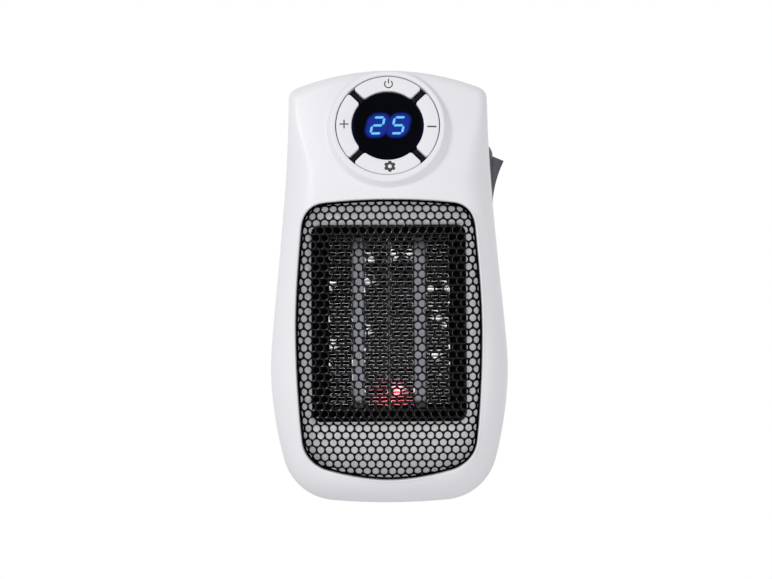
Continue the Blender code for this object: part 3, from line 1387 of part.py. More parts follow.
def display_route():
    """The display lead's points: from the control board, down the left side, to the power board."""
    points = from_place((0, PANEL_Y, DEPTH), DISPLAY_TOP_BENDS)
    for (across, up), depth in zip(DISPLAY_SIDE_SHARES, DISPLAY_SIDE_DEPTHS):
        points.append((WIDTH / 2 * across, HEIGHT * up, depth))
    foot = (-POWER_BOARD_WIDTH / 2, POWER_BOARD_Y, POWER_BOARD_DEPTH)
    return points + from_place(foot, DISPLAY_FOOT_BENDS)


def make_electronics():
    low = (-POWER_BOARD_WIDTH / 2, POWER_BOARD_Y - POWER_BOARD_HEIGHT / 2, POWER_BOARD_DEPTH)
    high = (POWER_BOARD_WIDTH / 2, POWER_BOARD_Y + POWER_BOARD_HEIGHT / 2, POWER_BOARD_DEPTH + BOARD_SHEET)
    place("power_board", box("power_board", low, high), housing, BOARD_GREEN)
    front = POWER_BOARD_DEPTH + BOARD_SHEET + CLEARANCE
    standing_box("relay", RELAY_SIZE, RELAY_X, POWER_BOARD_Y, front, RELAY_BLUE)
    standing_box("capacitor", CAPACITOR_SIZE, CAPACITOR_X, POWER_BOARD_Y, front, CERAMIC_WHITE)
    standing_box("temperature_sensor", SENSOR_SIZE, SENSOR_X, SENSOR_Y, SENSOR_STAND, BLACK_PLASTIC)
    low = CLEARANCE
    profile = [
        (0, low + CUTOUT_HEIGHT + CUTOUT_CAP),
        (CUTOUT_RADIUS - CUTOUT_RIM, low + CUTOUT_HEIGHT + CUTOUT_CAP),
        (CUTOUT_RADIUS - CUTOUT_RIM, low + CUTOUT_HEIGHT),
        (CUTOUT_RADIUS, low + CUTOUT_HEIGHT),
        (CUTOUT_RADIUS, low),
        (0, low),
    ]
    cutout = turned("thermal_cutout", profile, heater, CERAMIC_WHITE, steps=MIDDLE_STEPS)
    cutout.location = (CUTOUT_X, FRAME_HALF_HEIGHT, ELEMENT_MIDDLE)
    cutout.rotation_euler = (math.radians(-90), 0, 0)
    smooth(cutout)
    live_x = -POWER_BOARD_WIDTH / 2 + LIVE_START_INSET
    neutral_x = POWER_BOARD_WIDTH / 2 - NEUTRAL_START_INSET
    live = heater_route(live_x, LIVE_START_BENDS, -TUBE_X, LIVE_END_BENDS)
    neutral = heater_route(neutral_x, NEUTRAL_START_BENDS, 0, NEUTRAL_END_BENDS)
    tube("heater_lead_live", live, LEAD_RADIUS, housing, RED_RUBBER)
    tube("heater_lead_neutral", neutral, LEAD_RADIUS, housing, RED_RUBBER)
    tube("display_lead", display_route(), LEAD_RADIUS, housing, RED_RUBBER)


make_front_shell()
make_back_shell()
make_grille()
make_baffle()
make_ptc_frame()
make_element()
make_shroud()
make_motor()
make_impeller()
make_panel()
make_switch()
make_rocker()
make_plug()
make_pins()
make_clips()
make_swivel()
make_housing_screws()
make_electronics()
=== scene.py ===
import math

import bmesh
import bpy
import numpy as np
from mathutils import Matrix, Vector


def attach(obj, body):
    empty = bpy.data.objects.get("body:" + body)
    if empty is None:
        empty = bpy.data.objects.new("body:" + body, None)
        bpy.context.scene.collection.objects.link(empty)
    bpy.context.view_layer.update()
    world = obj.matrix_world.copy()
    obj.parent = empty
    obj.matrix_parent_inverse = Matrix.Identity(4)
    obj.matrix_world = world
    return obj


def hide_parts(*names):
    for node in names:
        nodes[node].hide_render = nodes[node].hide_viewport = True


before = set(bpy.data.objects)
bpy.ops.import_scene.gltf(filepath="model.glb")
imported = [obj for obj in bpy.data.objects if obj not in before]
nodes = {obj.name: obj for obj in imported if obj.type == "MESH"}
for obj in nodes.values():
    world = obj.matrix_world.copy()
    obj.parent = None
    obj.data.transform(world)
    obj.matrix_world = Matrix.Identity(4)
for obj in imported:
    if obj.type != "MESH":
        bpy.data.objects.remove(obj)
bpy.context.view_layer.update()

# Plug: a round boss that fills the socket's recess, a turning disc and a neck in the back shell.
# Moulded in white plastic, with a groove at each side and a slot for each earth clip.
# Lengths are millimetres up to the studio, and place() turns them into metres of the frame.

SOCKET_TO_BACK = 26.0
PLUG_HEIGHT = 112.0
PLUG = (np.zeros(3), np.array([(1, 0, 0), (0, 0, 1), (0, -1, 0)], float))
HOUSING = (np.array((0, -SOCKET_TO_BACK, -PLUG_HEIGHT)), PLUG[1])


def place(points, where):
    """Points (across, up, forwards) of one assembly frame as metres: origin + points times its axes."""
    origin, axes = where
    return (origin + np.asarray(points, float) @ axes) / 1000


def unit(angle):
    """The direction (cos, sin) of each angle."""
    return np.column_stack((np.cos(angle), np.sin(angle)))


def at_level(flat, level):
    """Flat places with their depth, or one depth for all, as the third number."""
    return np.column_stack((flat, np.broadcast_to(level, len(flat))))


def lathe(profile, steps=96):
    """A grid turned from (radius, depth) points: each column is the profile at one angle."""
    profile = np.asarray(profile, float)[:, None]
    flat = profile[..., :1] * unit(np.linspace(0, 2 * np.pi, steps + 1))
    return np.concatenate((flat, np.broadcast_to(profile[..., 1:], (*flat.shape[:2], 1))), axis=-1)


def rounded(corners, radii, steps=4):
    """A profile with its corners turned into arcs: a quadratic curve from one tangent point to the next."""
    corners = np.asarray(corners, float)
    line = [corners[:1]]
    for before, here, after, radius in zip(corners, corners[1:], corners[2:], radii):
        t = np.linspace(0, 1, steps + 1 if radius else 1)[:, None]
        first, last = (here + (far - here) / np.linalg.norm(far - here) * radius for far in (before, after))
        line.append(first * (1 - t) ** 2 + 2 * here * t * (1 - t) + last * t**2)
    return np.vstack(line + [corners[-1:]])


def mesh_of(name, grids, where):
    """One mesh from grids of points: quads between neighbours, doubles merged, faces outwards."""
    corners = []
    quads = []
    start = 0
    for grid in grids:
        rows, columns = grid.shape[:2]
        index = start + np.arange(rows * columns).reshape(rows, columns)
        quad = np.stack((index[:-1, :-1], index[:-1, 1:], index[1:, 1:], index[1:, :-1]), axis=-1)
        quads.append(quad.reshape(-1, 4))
        corners.append(place(grid.reshape(-1, 3), where))
        start += rows * columns
    mesh = bpy.data.meshes.new(name)
    mesh.from_pydata(np.vstack(corners).tolist(), [], np.vstack(quads).tolist())
    work = bmesh.new()
    work.from_mesh(mesh)
    bmesh.ops.remove_doubles(work, verts=work.verts, dist=2e-6)
    bmesh.ops.dissolve_degenerate(work, edges=work.edges, dist=1e-7)
    bmesh.ops.recalc_face_normals(work, faces=work.faces)
    work.to_mesh(mesh)
    work.free()
    return mesh


def soften(mesh, sharp):
    """Shades a mesh smooth, but for edges that bend by more than the sharp angle in degrees."""
    mesh.shade_smooth()
    mesh.set_sharp_from_angle(angle=math.radians(sharp))


def piece(name, grids, where, body, finish, slot, *stands_for, sharp=35):
    """A finished piece: its mesh in place, its finish, the body it rides on and the nodes it stands for."""
    made = bpy.data.objects.new(name, mesh_of(name, grids, where))
    bpy.context.scene.collection.objects.link(made)
    soften(made.data, sharp)
    made.data.materials.append(finish)
    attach(made, body)
    if stands_for:
        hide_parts(*stands_for)
    return made


def carve(made, tools, where, sharp=35):
    """Cuts closed tools out of a piece and keeps the result as its mesh."""
    for k, grid in enumerate(tools):
        tool = bpy.data.objects.new(f"{made.name}_tool_{k}", mesh_of("tool", [grid], where))
        bpy.context.scene.collection.objects.link(tool)
        step = made.modifiers.new(tool.name, "BOOLEAN")
        step.object = tool
        step.operation = "DIFFERENCE"
        step.solver = "EXACT"
    graph = bpy.context.evaluated_depsgraph_get()
    result = bpy.data.meshes.new_from_object(made.evaluated_get(graph))
    for step in list(made.modifiers):
        tool = step.object
        made.modifiers.remove(step)
        bpy.data.objects.remove(tool)
    finish = made.data.materials[0]
    made.data = result
    result.materials.clear()
    result.materials.append(finish)
    soften(result, sharp)


def feed(tree, made, inputs):
    """Gives each input of a finish's node its value, or the output of another node that it follows."""
    for name, value in inputs.items():
        if isinstance(value, bpy.types.NodeSocket):
            tree.links.new(value, made.inputs[name])
        else:
            made.inputs[name].default_value = value


def added(tree, kind, inputs, output=0, **settings):
    """An output of a new node of a finish, with its settings and its inputs."""
    made = tree.nodes.new(f"ShaderNode{kind}")
    for name, value in settings.items():
        setattr(made, name, value)
    feed(tree, made, inputs)
    return made.outputs[output]


def tinted(tree, share, *stops):
    """The colour at a share of the way through stops: each stop is a (share, colour) pair."""
    tint = added(tree, "ValToRGB", {"Fac": share})
    marks = tint.node.color_ramp.elements
    first, *between, last = stops
    for mark, (at, colour) in zip(marks, (first, last)):
        mark.position = at
        mark.color = (*colour, 1)
    for at, colour in between:
        marks.new(at).color = (*colour, 1)
    return tint


def coat(tree, looks):
    """Gives the surface of a finish its colours and values."""
    feed(tree, tree.nodes["Principled BSDF"], looks)


def moulded(name, colour, roughness, grain=900, bump=0.05, spread=0.02, sheen=0.5, metallic=0.0):
    """A moulded or rolled finish: broad noise moves its colour a little, and fine noise its roughness
    and its surface."""
    made = bpy.data.materials.new(name)
    made.use_nodes = True
    tree = made.node_tree
    where = added(tree, "TexCoord", {}, "Object")
    fine = added(tree, "TexNoise", {"Vector": where, "Scale": grain, "Detail": 3})
    broad = added(tree, "TexNoise", {"Vector": where, "Scale": 28, "Detail": 2})
    low, high = [c * (1 - spread) for c in colour], [min(c * (1 + spread), 1) for c in colour]
    gloss = added(tree, "MapRange", {"Value": fine, "To Min": roughness - 0.05, "To Max": roughness + 0.05})
    relief = added(tree, "Bump", {"Height": fine, "Strength": bump, "Distance": 0.0002})
    looks = {
        "Base Color": tinted(tree, broad, (0.3, low), (0.7, high)), "Metallic": metallic,
        "Specular IOR Level": sheen, "Roughness": gloss, "Normal": relief,
    }
    coat(tree, looks)
    return made


BOSS_RADIUS = 18.5
BOSS_LENGTH = 19.0
DISC_RADIUS = 23.0
DISC_BACK = 25.7
NECK_RADIUS = 16.0
NECK_END = 29.6
HOLLOW_RADIUS = 7.0
HOLLOW_FLOOR = 13.2
WHITE = moulded("white_plastic", (0.80, 0.79, 0.83), 0.40, grain=1400, bump=0.03, spread=0.006)
plug_corners = [
    (0, HOLLOW_FLOOR), (HOLLOW_RADIUS, HOLLOW_FLOOR), (HOLLOW_RADIUS, NECK_END), (NECK_RADIUS, NECK_END),
    (NECK_RADIUS, DISC_BACK), (DISC_RADIUS, DISC_BACK), (DISC_RADIUS, BOSS_LENGTH),
    (BOSS_RADIUS, BOSS_LENGTH), (BOSS_RADIUS, 0), (0, 0),
]
plug_profile = rounded(plug_corners, [0, 0.3, 0, 0, 0.4, 1.8, 0.8, 1.6])
plug = piece("plug_body_fine", [lathe(plug_profile)], PLUG, "plug", WHITE, "white_plastic", "plug_body")


def bar(low, high, edge=0.3):
    """A closed box with its back and front edges bevelled: one section, narrower at both its ends."""
    low, high = np.asarray(low, float), np.asarray(high, float)
    half = (high - low) / 2
    section = np.clip(unit(np.linspace(0, 2 * np.pi, 33) + np.pi / 4) * np.sqrt(2), -1, 1) * half[:2]
    narrow = 1 - edge / half[:2].min()
    back = [(0, -half[2]), (narrow, -half[2]), (1, edge - half[2])]
    ends = back + [(share, -level) for share, level in back[::-1]]
    return np.array([at_level(section * share, level) for share, level in ends]) + (high + low) / 2


def drum(radius, low, high, at=(0, 0), steps=48, mouth=0.0):
    """A closed round tool along the depth, opened out at its low end where it has a mouth."""
    profile = [(0, high), (radius, high), (radius, low + mouth), (radius + mouth, low), (0, low)]
    return lathe(profile, steps) + (*at, 0)


PIN_SPACING = 19.0
PIN_BORE = 2.6
BORE_FLOOR = 12.0
GROOVE_HALF = 2.6
GROOVE_IN = 14.9
CLIP_SLOT_HALF = 4.0
CLIP_SLOT_IN = 15.9
GROOVE_FLOOR = 15.0
BEFORE = -2.0
BESIDE = BOSS_RADIUS + 3.0
tools = [drum(PIN_BORE, BEFORE, BORE_FLOOR, (side * PIN_SPACING / 2, 0)) for side in (1, -1)]
for groove in (
    bar((GROOVE_IN, -GROOVE_HALF, BEFORE), (BESIDE, GROOVE_HALF, GROOVE_FLOOR)),
    bar((-CLIP_SLOT_HALF, CLIP_SLOT_IN, BEFORE), (CLIP_SLOT_HALF, BESIDE, GROOVE_FLOOR)),
):
    tools += [groove, groove * (-1, -1, 1)]
carve(plug, tools, PLUG)

# Contact pins and earth clips: turned and stamped brass, nickel plated. The pins have rounded tips
# and are pressed into the boss. Each clip is a sprung strip, bowed outwards between its ends.

PIN_RADIUS = 2.4
PIN_TIP = -19.0
PIN_FOOT = 11.7
PLATED = moulded("plated_brass", (0.72, 0.69, 0.60), 0.24, grain=400, bump=0.06, spread=0.03, metallic=1.0)
pin_corners = [(0, PIN_FOOT), (PIN_RADIUS, PIN_FOOT), (PIN_RADIUS, PIN_TIP), (0, PIN_TIP)]
pin = lathe(rounded(pin_corners, [0.3, 1.6], steps=6), 40)
for name, side in (("plug_pin_left", -1), ("plug_pin_right", 1)):
    grid = pin + (side * PIN_SPACING / 2, 0, 0)
    piece(f"{name}_fine", [grid], PLUG, "plug", PLATED, "plated_brass", name)


def leftwards(along):
    """The unit directions a quarter turn to the left of these."""
    return np.column_stack((-along[:, 1], along[:, 0])) / np.linalg.norm(along, axis=1)[:, None]


def closed(grid):
    """A grid of loops with both ends closed: a loop is added at each, with all its points at the middle."""
    first, last = (np.broadcast_to(loop.mean(axis=0), loop.shape) for loop in (grid[0], grid[-1]))
    return np.concatenate((first[None], grid, last[None]))


def strip(along, half_width, thickness):
    """A closed bent strip: a side view (height, depth) widened across, with its thickness added outwards."""
    outer = along - leftwards(np.gradient(along, axis=0)) * thickness
    loop = np.stack((along, along, outer, outer, along), axis=1)
    across = np.broadcast_to(half_width * np.array((-1, 1, 1, -1, -1)), loop.shape[:2])
    return closed(np.concatenate((across[..., None], loop), axis=2))


CLIP_OUT = 16.2
CLIP_BOW = 0.9
CLIP_START = 0.5
CLIP_LENGTH = 14.0
CLIP_HALF = 3.2
CLIP_SHEET = 0.7
share = np.linspace(0, 1, 24)
bow = np.column_stack((CLIP_OUT + CLIP_BOW * np.sin(np.pi * share) ** 2, CLIP_START + CLIP_LENGTH * share))
for name, side in (("earth_clip_top", 1), ("earth_clip_bottom", -1)):
    grid = strip(bow, CLIP_HALF, CLIP_SHEET) * (1, side, 1)
    piece(f"{name}_fine", [grid], PLUG, "plug", PLATED, "plated_brass", name)

# Body shells, common to both: the outline and the moulded faces that both halves are drawn from.
# The outline is a chain of curves, narrower above the waist and rounded below. The face is crowned
# across and bends back above and below on two large arcs.

WIDTH = 97.6
HEIGHT = 177.0
DEPTH = 78.0
PARTING = 38.0
WALL = 2.4
DRAFT = 0.5
CROWN = 140.0
UPPER_BEND_FROM = 95.0
UPPER_BEND = 188.0
LOWER_BEND_FROM = 50.0
LOWER_BEND = 150.0
BODY = np.array(
    (
        (0, 1), (0.246, 1), (0.504, 0.987), (0.75, 0.9625), (0.807, 0.9565), (0.835, 0.9485),
        (0.837, 0.9335), (0.848, 0.678), (1, 0.407), (1, 0.311), (1, 0.237), (0.945, 0.1525),
        (0.895, 0.1017), (0.85, 0.0565), (0.713, 0.0124), (0.488, 0.0056), (0.326, 0.002),
        (0.164, 0), (0, 0),
    )
)


def outline(half_width, bottom, top, shares, steps=220):
    """A closed symmetric outline, anticlockwise from its foot: cubic curves through anchors and handles."""
    t = np.linspace(0, 1, steps, endpoint=False)[:, None]
    spans = []
    for a, b, c, d in zip(shares[0::3], shares[1::3], shares[2::3], shares[3::3]):
        spans.append(a * (1 - t) ** 3 + 3 * b * t * (1 - t) ** 2 + 3 * c * t**2 * (1 - t) + d * t**3)
    half = np.vstack(spans + [shares[-1:]])[::-1]
    right = half * (half_width, top - bottom) + (0, bottom)
    return np.vstack((right, right[-2:0:-1] * (-1, 1)))


def inwards(line):
    """The unit direction square to a closed anticlockwise line, towards its inside, at each point."""
    return leftwards(np.roll(line, -1, axis=0) - np.roll(line, 1, axis=0))


body_line = outline(WIDTH / 2, 0, HEIGHT, BODY)
body_inwards = inwards(body_line)
body_edge = (body_line, body_inwards)


def to_line(flat, edge):
    """Signed distance inside a dense line, and the index of its nearest point, in blocks of rows."""
    line, normals = edge
    gaps = []
    nearest = []
    squares = (line**2).sum(axis=1)
    for block in np.array_split(flat, max(1, len(flat) // 3000)):
        index = (squares - 2 * block @ line.T).argmin(axis=1)
        nearest.append(index)
        gaps.append(((block - line[index]) * normals[index]).sum(axis=1))
    return np.concatenate(gaps), np.concatenate(nearest)


def face_depth(flat):
    """The face without its edges: the crown and both bends as parabolas, x² / 2r, taken off the depth."""
    across, up = flat[..., 0], flat[..., 1]
    top = np.maximum(up - UPPER_BEND_FROM, 0)
    bottom = np.maximum(LOWER_BEND_FROM - up, 0)
    return DEPTH - across**2 / (2 * CROWN) - top**2 / (2 * UPPER_BEND) - bottom**2 / (2 * LOWER_BEND)


def smooth(share):
    """A smooth step of a share held between 0 and 1: 3s² - 2s³."""
    share = np.clip(share, 0, 1)
    return share**2 * (3 - 2 * share)


def edge_radius(at_top, at_side):
    """Edge radius along the outline: small round the top, growing to the side's below, on a smooth step."""
    share = smooth((0.92 * HEIGHT - body_line[:, 1]) / (0.20 * HEIGHT))
    return at_top + (at_side - at_top) * share


def quarter(steps):
    """A rounded edge at even angles: (1 - cos, 1 - sin), as shares of its radius."""
    return 1 - unit(np.linspace(0, np.pi / 2, steps))


# Back shell: a tray moulded in white plastic, with intake slots for the fan, screw wells and the hole
# in which the plug turns. Its rim meets the front shell.

BACK_RIM = PARTING - 0.3
BREAK = 0.25
pick = np.append(np.arange(0, len(body_line), 7), 0)
line, normal, radius = body_line[pick], body_inwards[pick], edge_radius(3.2, 8.0)[pick]


def ring(inset, level):
    """One loop of the tray: the outline moved in by a distance, at a depth."""
    return at_level(line + normal * np.broadcast_to(inset, len(line))[:, None], level)


rows = [ring(BREAK, BACK_RIM), ring(0, BACK_RIM - BREAK)]
rows += [ring(DRAFT * k / 4, BACK_RIM - (BACK_RIM - radius) * k / 4) for k in (1, 2, 3)]
rows += [ring(DRAFT + radius * far, radius * up) for far, up in quarter(11)]
flat_back = rows[-1]
centre = np.array((0, 80.0, 0))
rows += [centre + (flat_back - centre) * share for share in (0.66, 0.33, 0)]
rows += [centre + (flat_back - centre) * share + (0, 0, WALL) for share in (0, 0.33, 0.66, 0.98)]
room = np.maximum(radius - WALL, 0.6)
rows += [ring(DRAFT + WALL + room * far, WALL + room * up) for far, up in quarter(6)[::-1]]
rows += [ring(WALL, BACK_RIM), ring(BREAK, BACK_RIM)]
back = piece("back_shell_fine", [np.array(rows)], HOUSING, "housing", WHITE, "white_plastic", "back_shell")


def stadium(length, width, at, low, high, mouth):
    """A closed slot tool with round ends, opened out at its low end like a moulded slot's edge."""
    turn = unit(np.linspace(0, 2 * np.pi, 49))
    shift = np.sign(np.round(turn[:, :1], 6)) * (length - width) / 2 * (1, 0)
    loops = []
    for grow, level, share in ((0, high, 0), (0, high, 1), (0, low + mouth, 1), (mouth, low, 1), (0, low, 0)):
        loops.append(at_level((turn * (width / 2 + grow) + shift) * share + at, level))
    return np.array(loops)


SLOT_LENGTH = 56.0
SLOT_WIDTH = 2.8
SLOT_UP = 38.0
SLOT_PITCH = 6.0
SLOTS = 9
OVERRUN = -0.02
SCREWS = ((30.5, 158.0), (-30.5, 158.0), (34.0, 22.0), (-34.0, 22.0))
WELL_RADIUS = 2.8
slot = stadium(SLOT_LENGTH, SLOT_WIDTH, (0, SLOT_UP), OVERRUN, WALL + 2, mouth=0.5)
tools = [slot + (0, SLOT_PITCH * k, 0) for k in range(SLOTS)]
tools += [drum(WELL_RADIUS, OVERRUN, 6, at, mouth=0.5) for at in SCREWS]
tools.append(drum(NECK_RADIUS + 0.3, OVERRUN, 6, (0, PLUG_HEIGHT), steps=96, mouth=0.3))
carve(back, tools, HOUSING)

# Screw wells: four deep tubes moulded into the back shell, with a shelf at the bottom that each
# housing screw's head pulls against. A self-tapping screw holds the two shells together in each.

WELL_OUTER = 3.7
WELL_FOOT = 0.6
SHELF_AT = 30.2
SHELF_BORE = 1.5
well_corners = [
    (WELL_OUTER, WELL_FOOT), (WELL_OUTER, BACK_RIM), (SHELF_BORE, BACK_RIM), (SHELF_BORE, SHELF_AT),
    (WELL_RADIUS, SHELF_AT), (WELL_RADIUS, WELL_FOOT), (WELL_OUTER, WELL_FOOT),
]
well = lathe(rounded(well_corners, [0, 0.3, 0, 0, 0]), 40)
piece("screw_wells", [well + (*at, 0) for at in SCREWS], HOUSING, "housing", WHITE, "white_plastic")
STEEL = moulded("screw_steel", (0.56, 0.56, 0.58), 0.30, grain=300, bump=0.08, spread=0.04, metallic=1.0)


def dressed(finish, *names):
    """Gives built pieces a finish. They keep their shapes."""
    for name in names:
        nodes[name].data.materials.clear()
        nodes[name].data.materials.append(finish)


dressed(STEEL, "housing_screw_1", "housing_screw_2", "housing_screw_3", "housing_screw_4")

# Front shell: one white moulding, crowned and leaning back at the top, with soft edges that turn
# into a crease beside the control panel. It has the grille's window and the panel's raised collar.

WINDOW = np.array(
    (
        (0, 1), (0.264, 1), (0.501, 0.995), (0.686, 0.988), (0.839, 0.983), (0.918, 0.948),
        (0.934, 0.9), (0.966, 0.782), (1, 0.652), (1, 0.53), (1, 0.399), (0.974, 0.242),
        (0.939, 0.138), (0.923, 0.09), (0.831, 0.056), (0.699, 0.038), (0.475, 0.015),
        (0.211, 0), (0, 0),
    )
)
WINDOW_SIDE = 10.9
WINDOW_FOOT = 10.2
WINDOW_TOP = 124.0
WINDOW_MIDDLE = np.array((0, 66.0))
PANEL_UP = 153.7
PANEL_DEPTH = 68.84
PANEL_MIDDLE = np.array((0, PANEL_UP))
LEAN = math.radians(17.34)
PANEL = (
    place((0, PANEL_UP, PANEL_DEPTH), HOUSING) * 1000,
    np.array([(1, 0, 0), (0, math.sin(LEAN), math.cos(LEAN)), (0, -math.cos(LEAN), math.sin(LEAN))]),
)
CREASE_FROM = 116.0
CREASE_TO = 176.0
CREASE_SHARE = 0.13
CREASE_RISE = 24.0
CREASE_FALL = 8.0
front_radius = edge_radius(3.4, 12.0)


def front_face(flat, on_rim=False):
    """The moulded face over flat places, its slope angle and the way inwards: the crowned face, less the
    drop r - sqrt(r² - (r - d)²) at a distance d inside the outline, less a crease beside the panel."""
    shape = flat.shape[:-1]
    points = flat.reshape(-1, 2)
    gap, index = to_line(points, body_edge)
    radius = front_radius[index]
    short = np.where(np.reshape(on_rim, -1), 1.0, np.clip(1 - (gap - DRAFT) / radius, 0, 1))
    up = points[:, 1]
    crease = np.clip((up - CREASE_FROM) / CREASE_RISE, 0, 1) * np.clip((CREASE_TO - up) / CREASE_FALL, 0, 1)
    drop = radius * (1 - np.sqrt(1 - short**2)) + CREASE_SHARE * radius * short * crease
    depth = face_depth(points) - drop
    return depth.reshape(shape), np.arccos(short).reshape(shape), body_inwards[index].reshape(*shape, 2)


def resample(line, count, beside):
    """Points of an open line spaced evenly by its own length plus the length of a line beside it."""
    steps = sum(np.linalg.norm(np.diff(each, axis=0), axis=1) for each in (line, beside))
    run = np.append(0, np.cumsum(steps))
    at = np.linspace(0, run[-1], count)
    return np.column_stack([np.interp(at, run, column) for column in line.T])


def direction(line, middle):
    """The angle at which each point of a line is seen from a middle."""
    return np.arctan2(line[:, 1] - middle[1], line[:, 0] - middle[0])


def seen_from(line, middle, directions):
    """Where rays from a middle at these angles meet a closed line around it."""
    angle = direction(line, middle)
    order = np.argsort(angle)
    reach = np.linalg.norm(line - middle, axis=1)[order]
    return middle + unit(directions) * np.interp(directions, angle[order], reach, period=2 * np.pi)[:, None]


SPLIT_UP = 127.6
COLLAR_BESIDE = 24.0
CLOSE_ROWS = 9.0
rim_line = body_line + body_inwards * DRAFT
split_index = np.abs(rim_line[: len(rim_line) // 2, 1] - SPLIT_UP).argmin()
right_end, left_end = rim_line[split_index], rim_line[-split_index]
sway = 0.5 - 0.5 * np.cos(np.pi * np.linspace(0, 1, 84))
split = right_end + (left_end - right_end) * sway[:, None]
window_line = outline(WIDTH / 2 - WINDOW_SIDE, WINDOW_FOOT, WINDOW_TOP, WINDOW)
window_inwards = inwards(window_line)
window_edge = (window_line, window_inwards)
lower_arc = np.vstack((rim_line[-split_index:], rim_line[: split_index + 1]))
beside = seen_from(window_line, WINDOW_MIDDLE, direction(lower_arc, WINDOW_MIDDLE))
lower_arc = resample(lower_arc, 300, beside)
upper_arc = rim_line[split_index : len(rim_line) - split_index + 1]
beside = PANEL_MIDDLE + COLLAR_BESIDE * unit(direction(upper_arc, PANEL_MIDDLE))
upper_arc = resample(upper_arc, 210, beside)


def spread(inner, outer, count=30):
    """Rows from an inner loop to an outer one, three times as close together where the edge is rounded."""
    reach = np.linalg.norm(outer - inner, axis=1)
    gap, index = to_line(outer, body_edge)
    radius = np.minimum(front_radius[index], reach)
    bend = 3 * radius * np.pi / 2
    left = np.linspace(1, 0, count)[:, None]
    step = left * (reach - radius + bend)
    near = radius * (1 - np.cos(np.clip(step / (3 * radius), 0, np.pi / 2)))
    near = np.where(step <= bend, near, radius + step - bend)
    share = np.clip(1 - (gap - DRAFT) / CLOSE_ROWS, 0, 1)
    away = left * reach * (1 - share) + near * share
    return outer + (inner - outer) * (away / reach)[..., None]


def skins(flat, arc_count):
    """The outer face over flat places, and the inner face a wall's thickness behind it, square to it.
    In the last row, the arc's places and the last one lie on the body's rim."""
    on_rim = np.zeros(flat.shape[:2], bool)
    on_rim[-1, :arc_count] = True
    on_rim[-1, -1] = True
    depth, angle, inward = front_face(flat, on_rim)
    behind = flat + inward * (WALL * np.cos(angle))[..., None]
    behind_depth = depth - WALL * np.sin(angle)
    return [np.concatenate((f, d[..., None]), axis=-1) for f, d in ((flat, depth), (behind, behind_depth))]


def side_wall(arc, outer, inner):
    """The shell's side from its rounded edge down to the parting line, the rim and the way back up inside."""
    _, index = to_line(arc, body_edge)
    line, inward = body_line[index], body_inwards[index]
    edge = outer[-1, : len(arc)]
    foot = at_level(line, PARTING)
    rows = [edge] + [edge + (foot - edge) * share for share in (0.35, 0.7)]
    rows.append(foot + (0, 0, BREAK))
    rows += [at_level(line + inward * inset, PARTING) for inset in (BREAK, WALL)]
    return np.array(rows + [inner[-1, : len(arc)]])


LIP = 0.8
outer_loop = np.vstack((lower_arc, split[1:]))
edge = seen_from(window_line, WINDOW_MIDDLE, direction(outer_loop, WINDOW_MIDDLE))
_, index = to_line(edge, window_edge)
outward = -window_inwards[index]
outer, inner = skins(spread(edge + outward * LIP, outer_loop), len(lower_arc))
lip = [at_level(edge, face_depth(edge) - WALL)]
for out, down in quarter(6)[:-1] * LIP:
    flat = edge + outward * out
    lip.append(at_level(flat, face_depth(flat) - down))
grids = [np.concatenate((inner[::-1], lip, outer)), side_wall(lower_arc, outer, inner)]

RING_RADIUS = 21.25
RING_FLOOR = -6.2
COLLAR_EDGE = 0.35
COLLAR_RISE = 1.4
COLLAR_OUTER = 22.7
COLLAR_FOOT = 25.2
COLLAR_REACH = 25.9
COLLAR_CLEAR = 0.9
outer_loop = np.vstack((upper_arc, split[-2::-1]))
towards = outer_loop - PANEL_MIDDLE
turn = np.arctan2(towards[:, 1] / math.cos(LEAN), towards[:, 0])


def on_panel(radius, height):
    """Places (across, up, forwards) at a radius and height over the panel's plane, for every ray."""
    v = radius * np.sin(turn)
    up = PANEL_UP + v * math.cos(LEAN) + height * math.sin(LEAN)
    depth = PANEL_DEPTH - v * math.sin(LEAN) + height * math.cos(LEAN)
    return np.stack(np.broadcast_arrays(radius * np.cos(turn), up, depth), axis=-1)


def height_of(radius):
    """Height of the moulded face over the panel's plane at a radius, found in a few steps."""
    height = np.zeros_like(turn)
    for _ in range(8):
        at = on_panel(radius, height)
        depth, _, _ = front_face(at[:, :2])
        height = height + (depth - at[:, 2]) * math.cos(LEAN)
    return height


# The collar is a little wider below the panel, and its skirt ends before the body's edge.
below = np.maximum(-np.sin(turn), 0) ** 2
collar_outer = COLLAR_OUTER + 0.9 * below
collar_foot = COLLAR_FOOT + 1.0 * below
reach = np.full_like(turn, COLLAR_OUTER + 0.3)
for radius in np.linspace(COLLAR_OUTER + 0.3, COLLAR_REACH + 0.5, 20):
    gap, _ = to_line(on_panel(radius, 0)[:, :2], body_edge)
    reach = np.where((gap > COLLAR_CLEAR) & (radius < COLLAR_REACH + 0.6 * below), radius, reach)
kernel = np.exp(-np.linspace(-2, 2, 15) ** 2)
reach = np.convolve(np.concatenate((reach[-8:-1], reach, reach[1:8])), kernel / kernel.sum(), mode="valid")
collar = [on_panel(RING_RADIUS + 1.8, RING_FLOOR), on_panel(RING_RADIUS, RING_FLOOR)]
collar += [on_panel(RING_RADIUS + out, COLLAR_RISE - down) for out, down in quarter(5) * COLLAR_EDGE]
for share in np.linspace(0, 1, 18):
    radius = collar_outer + (reach - collar_outer) * share**1.4
    fall = smooth((radius - collar_outer) / (np.minimum(reach, collar_foot) - collar_outer))
    collar.append(on_panel(radius, COLLAR_RISE + (height_of(radius) - COLLAR_RISE) * fall))
outer, inner = skins(spread(collar[-1][:, :2], outer_loop), len(upper_arc))
outer[0] = collar[-1]
grids += [np.concatenate((inner[::-1], collar, outer)), side_wall(upper_arc, outer, inner)]
piece("front_shell_fine", grids, HOUSING, "housing", WHITE, "white_plastic", "front_shell", sharp=42)

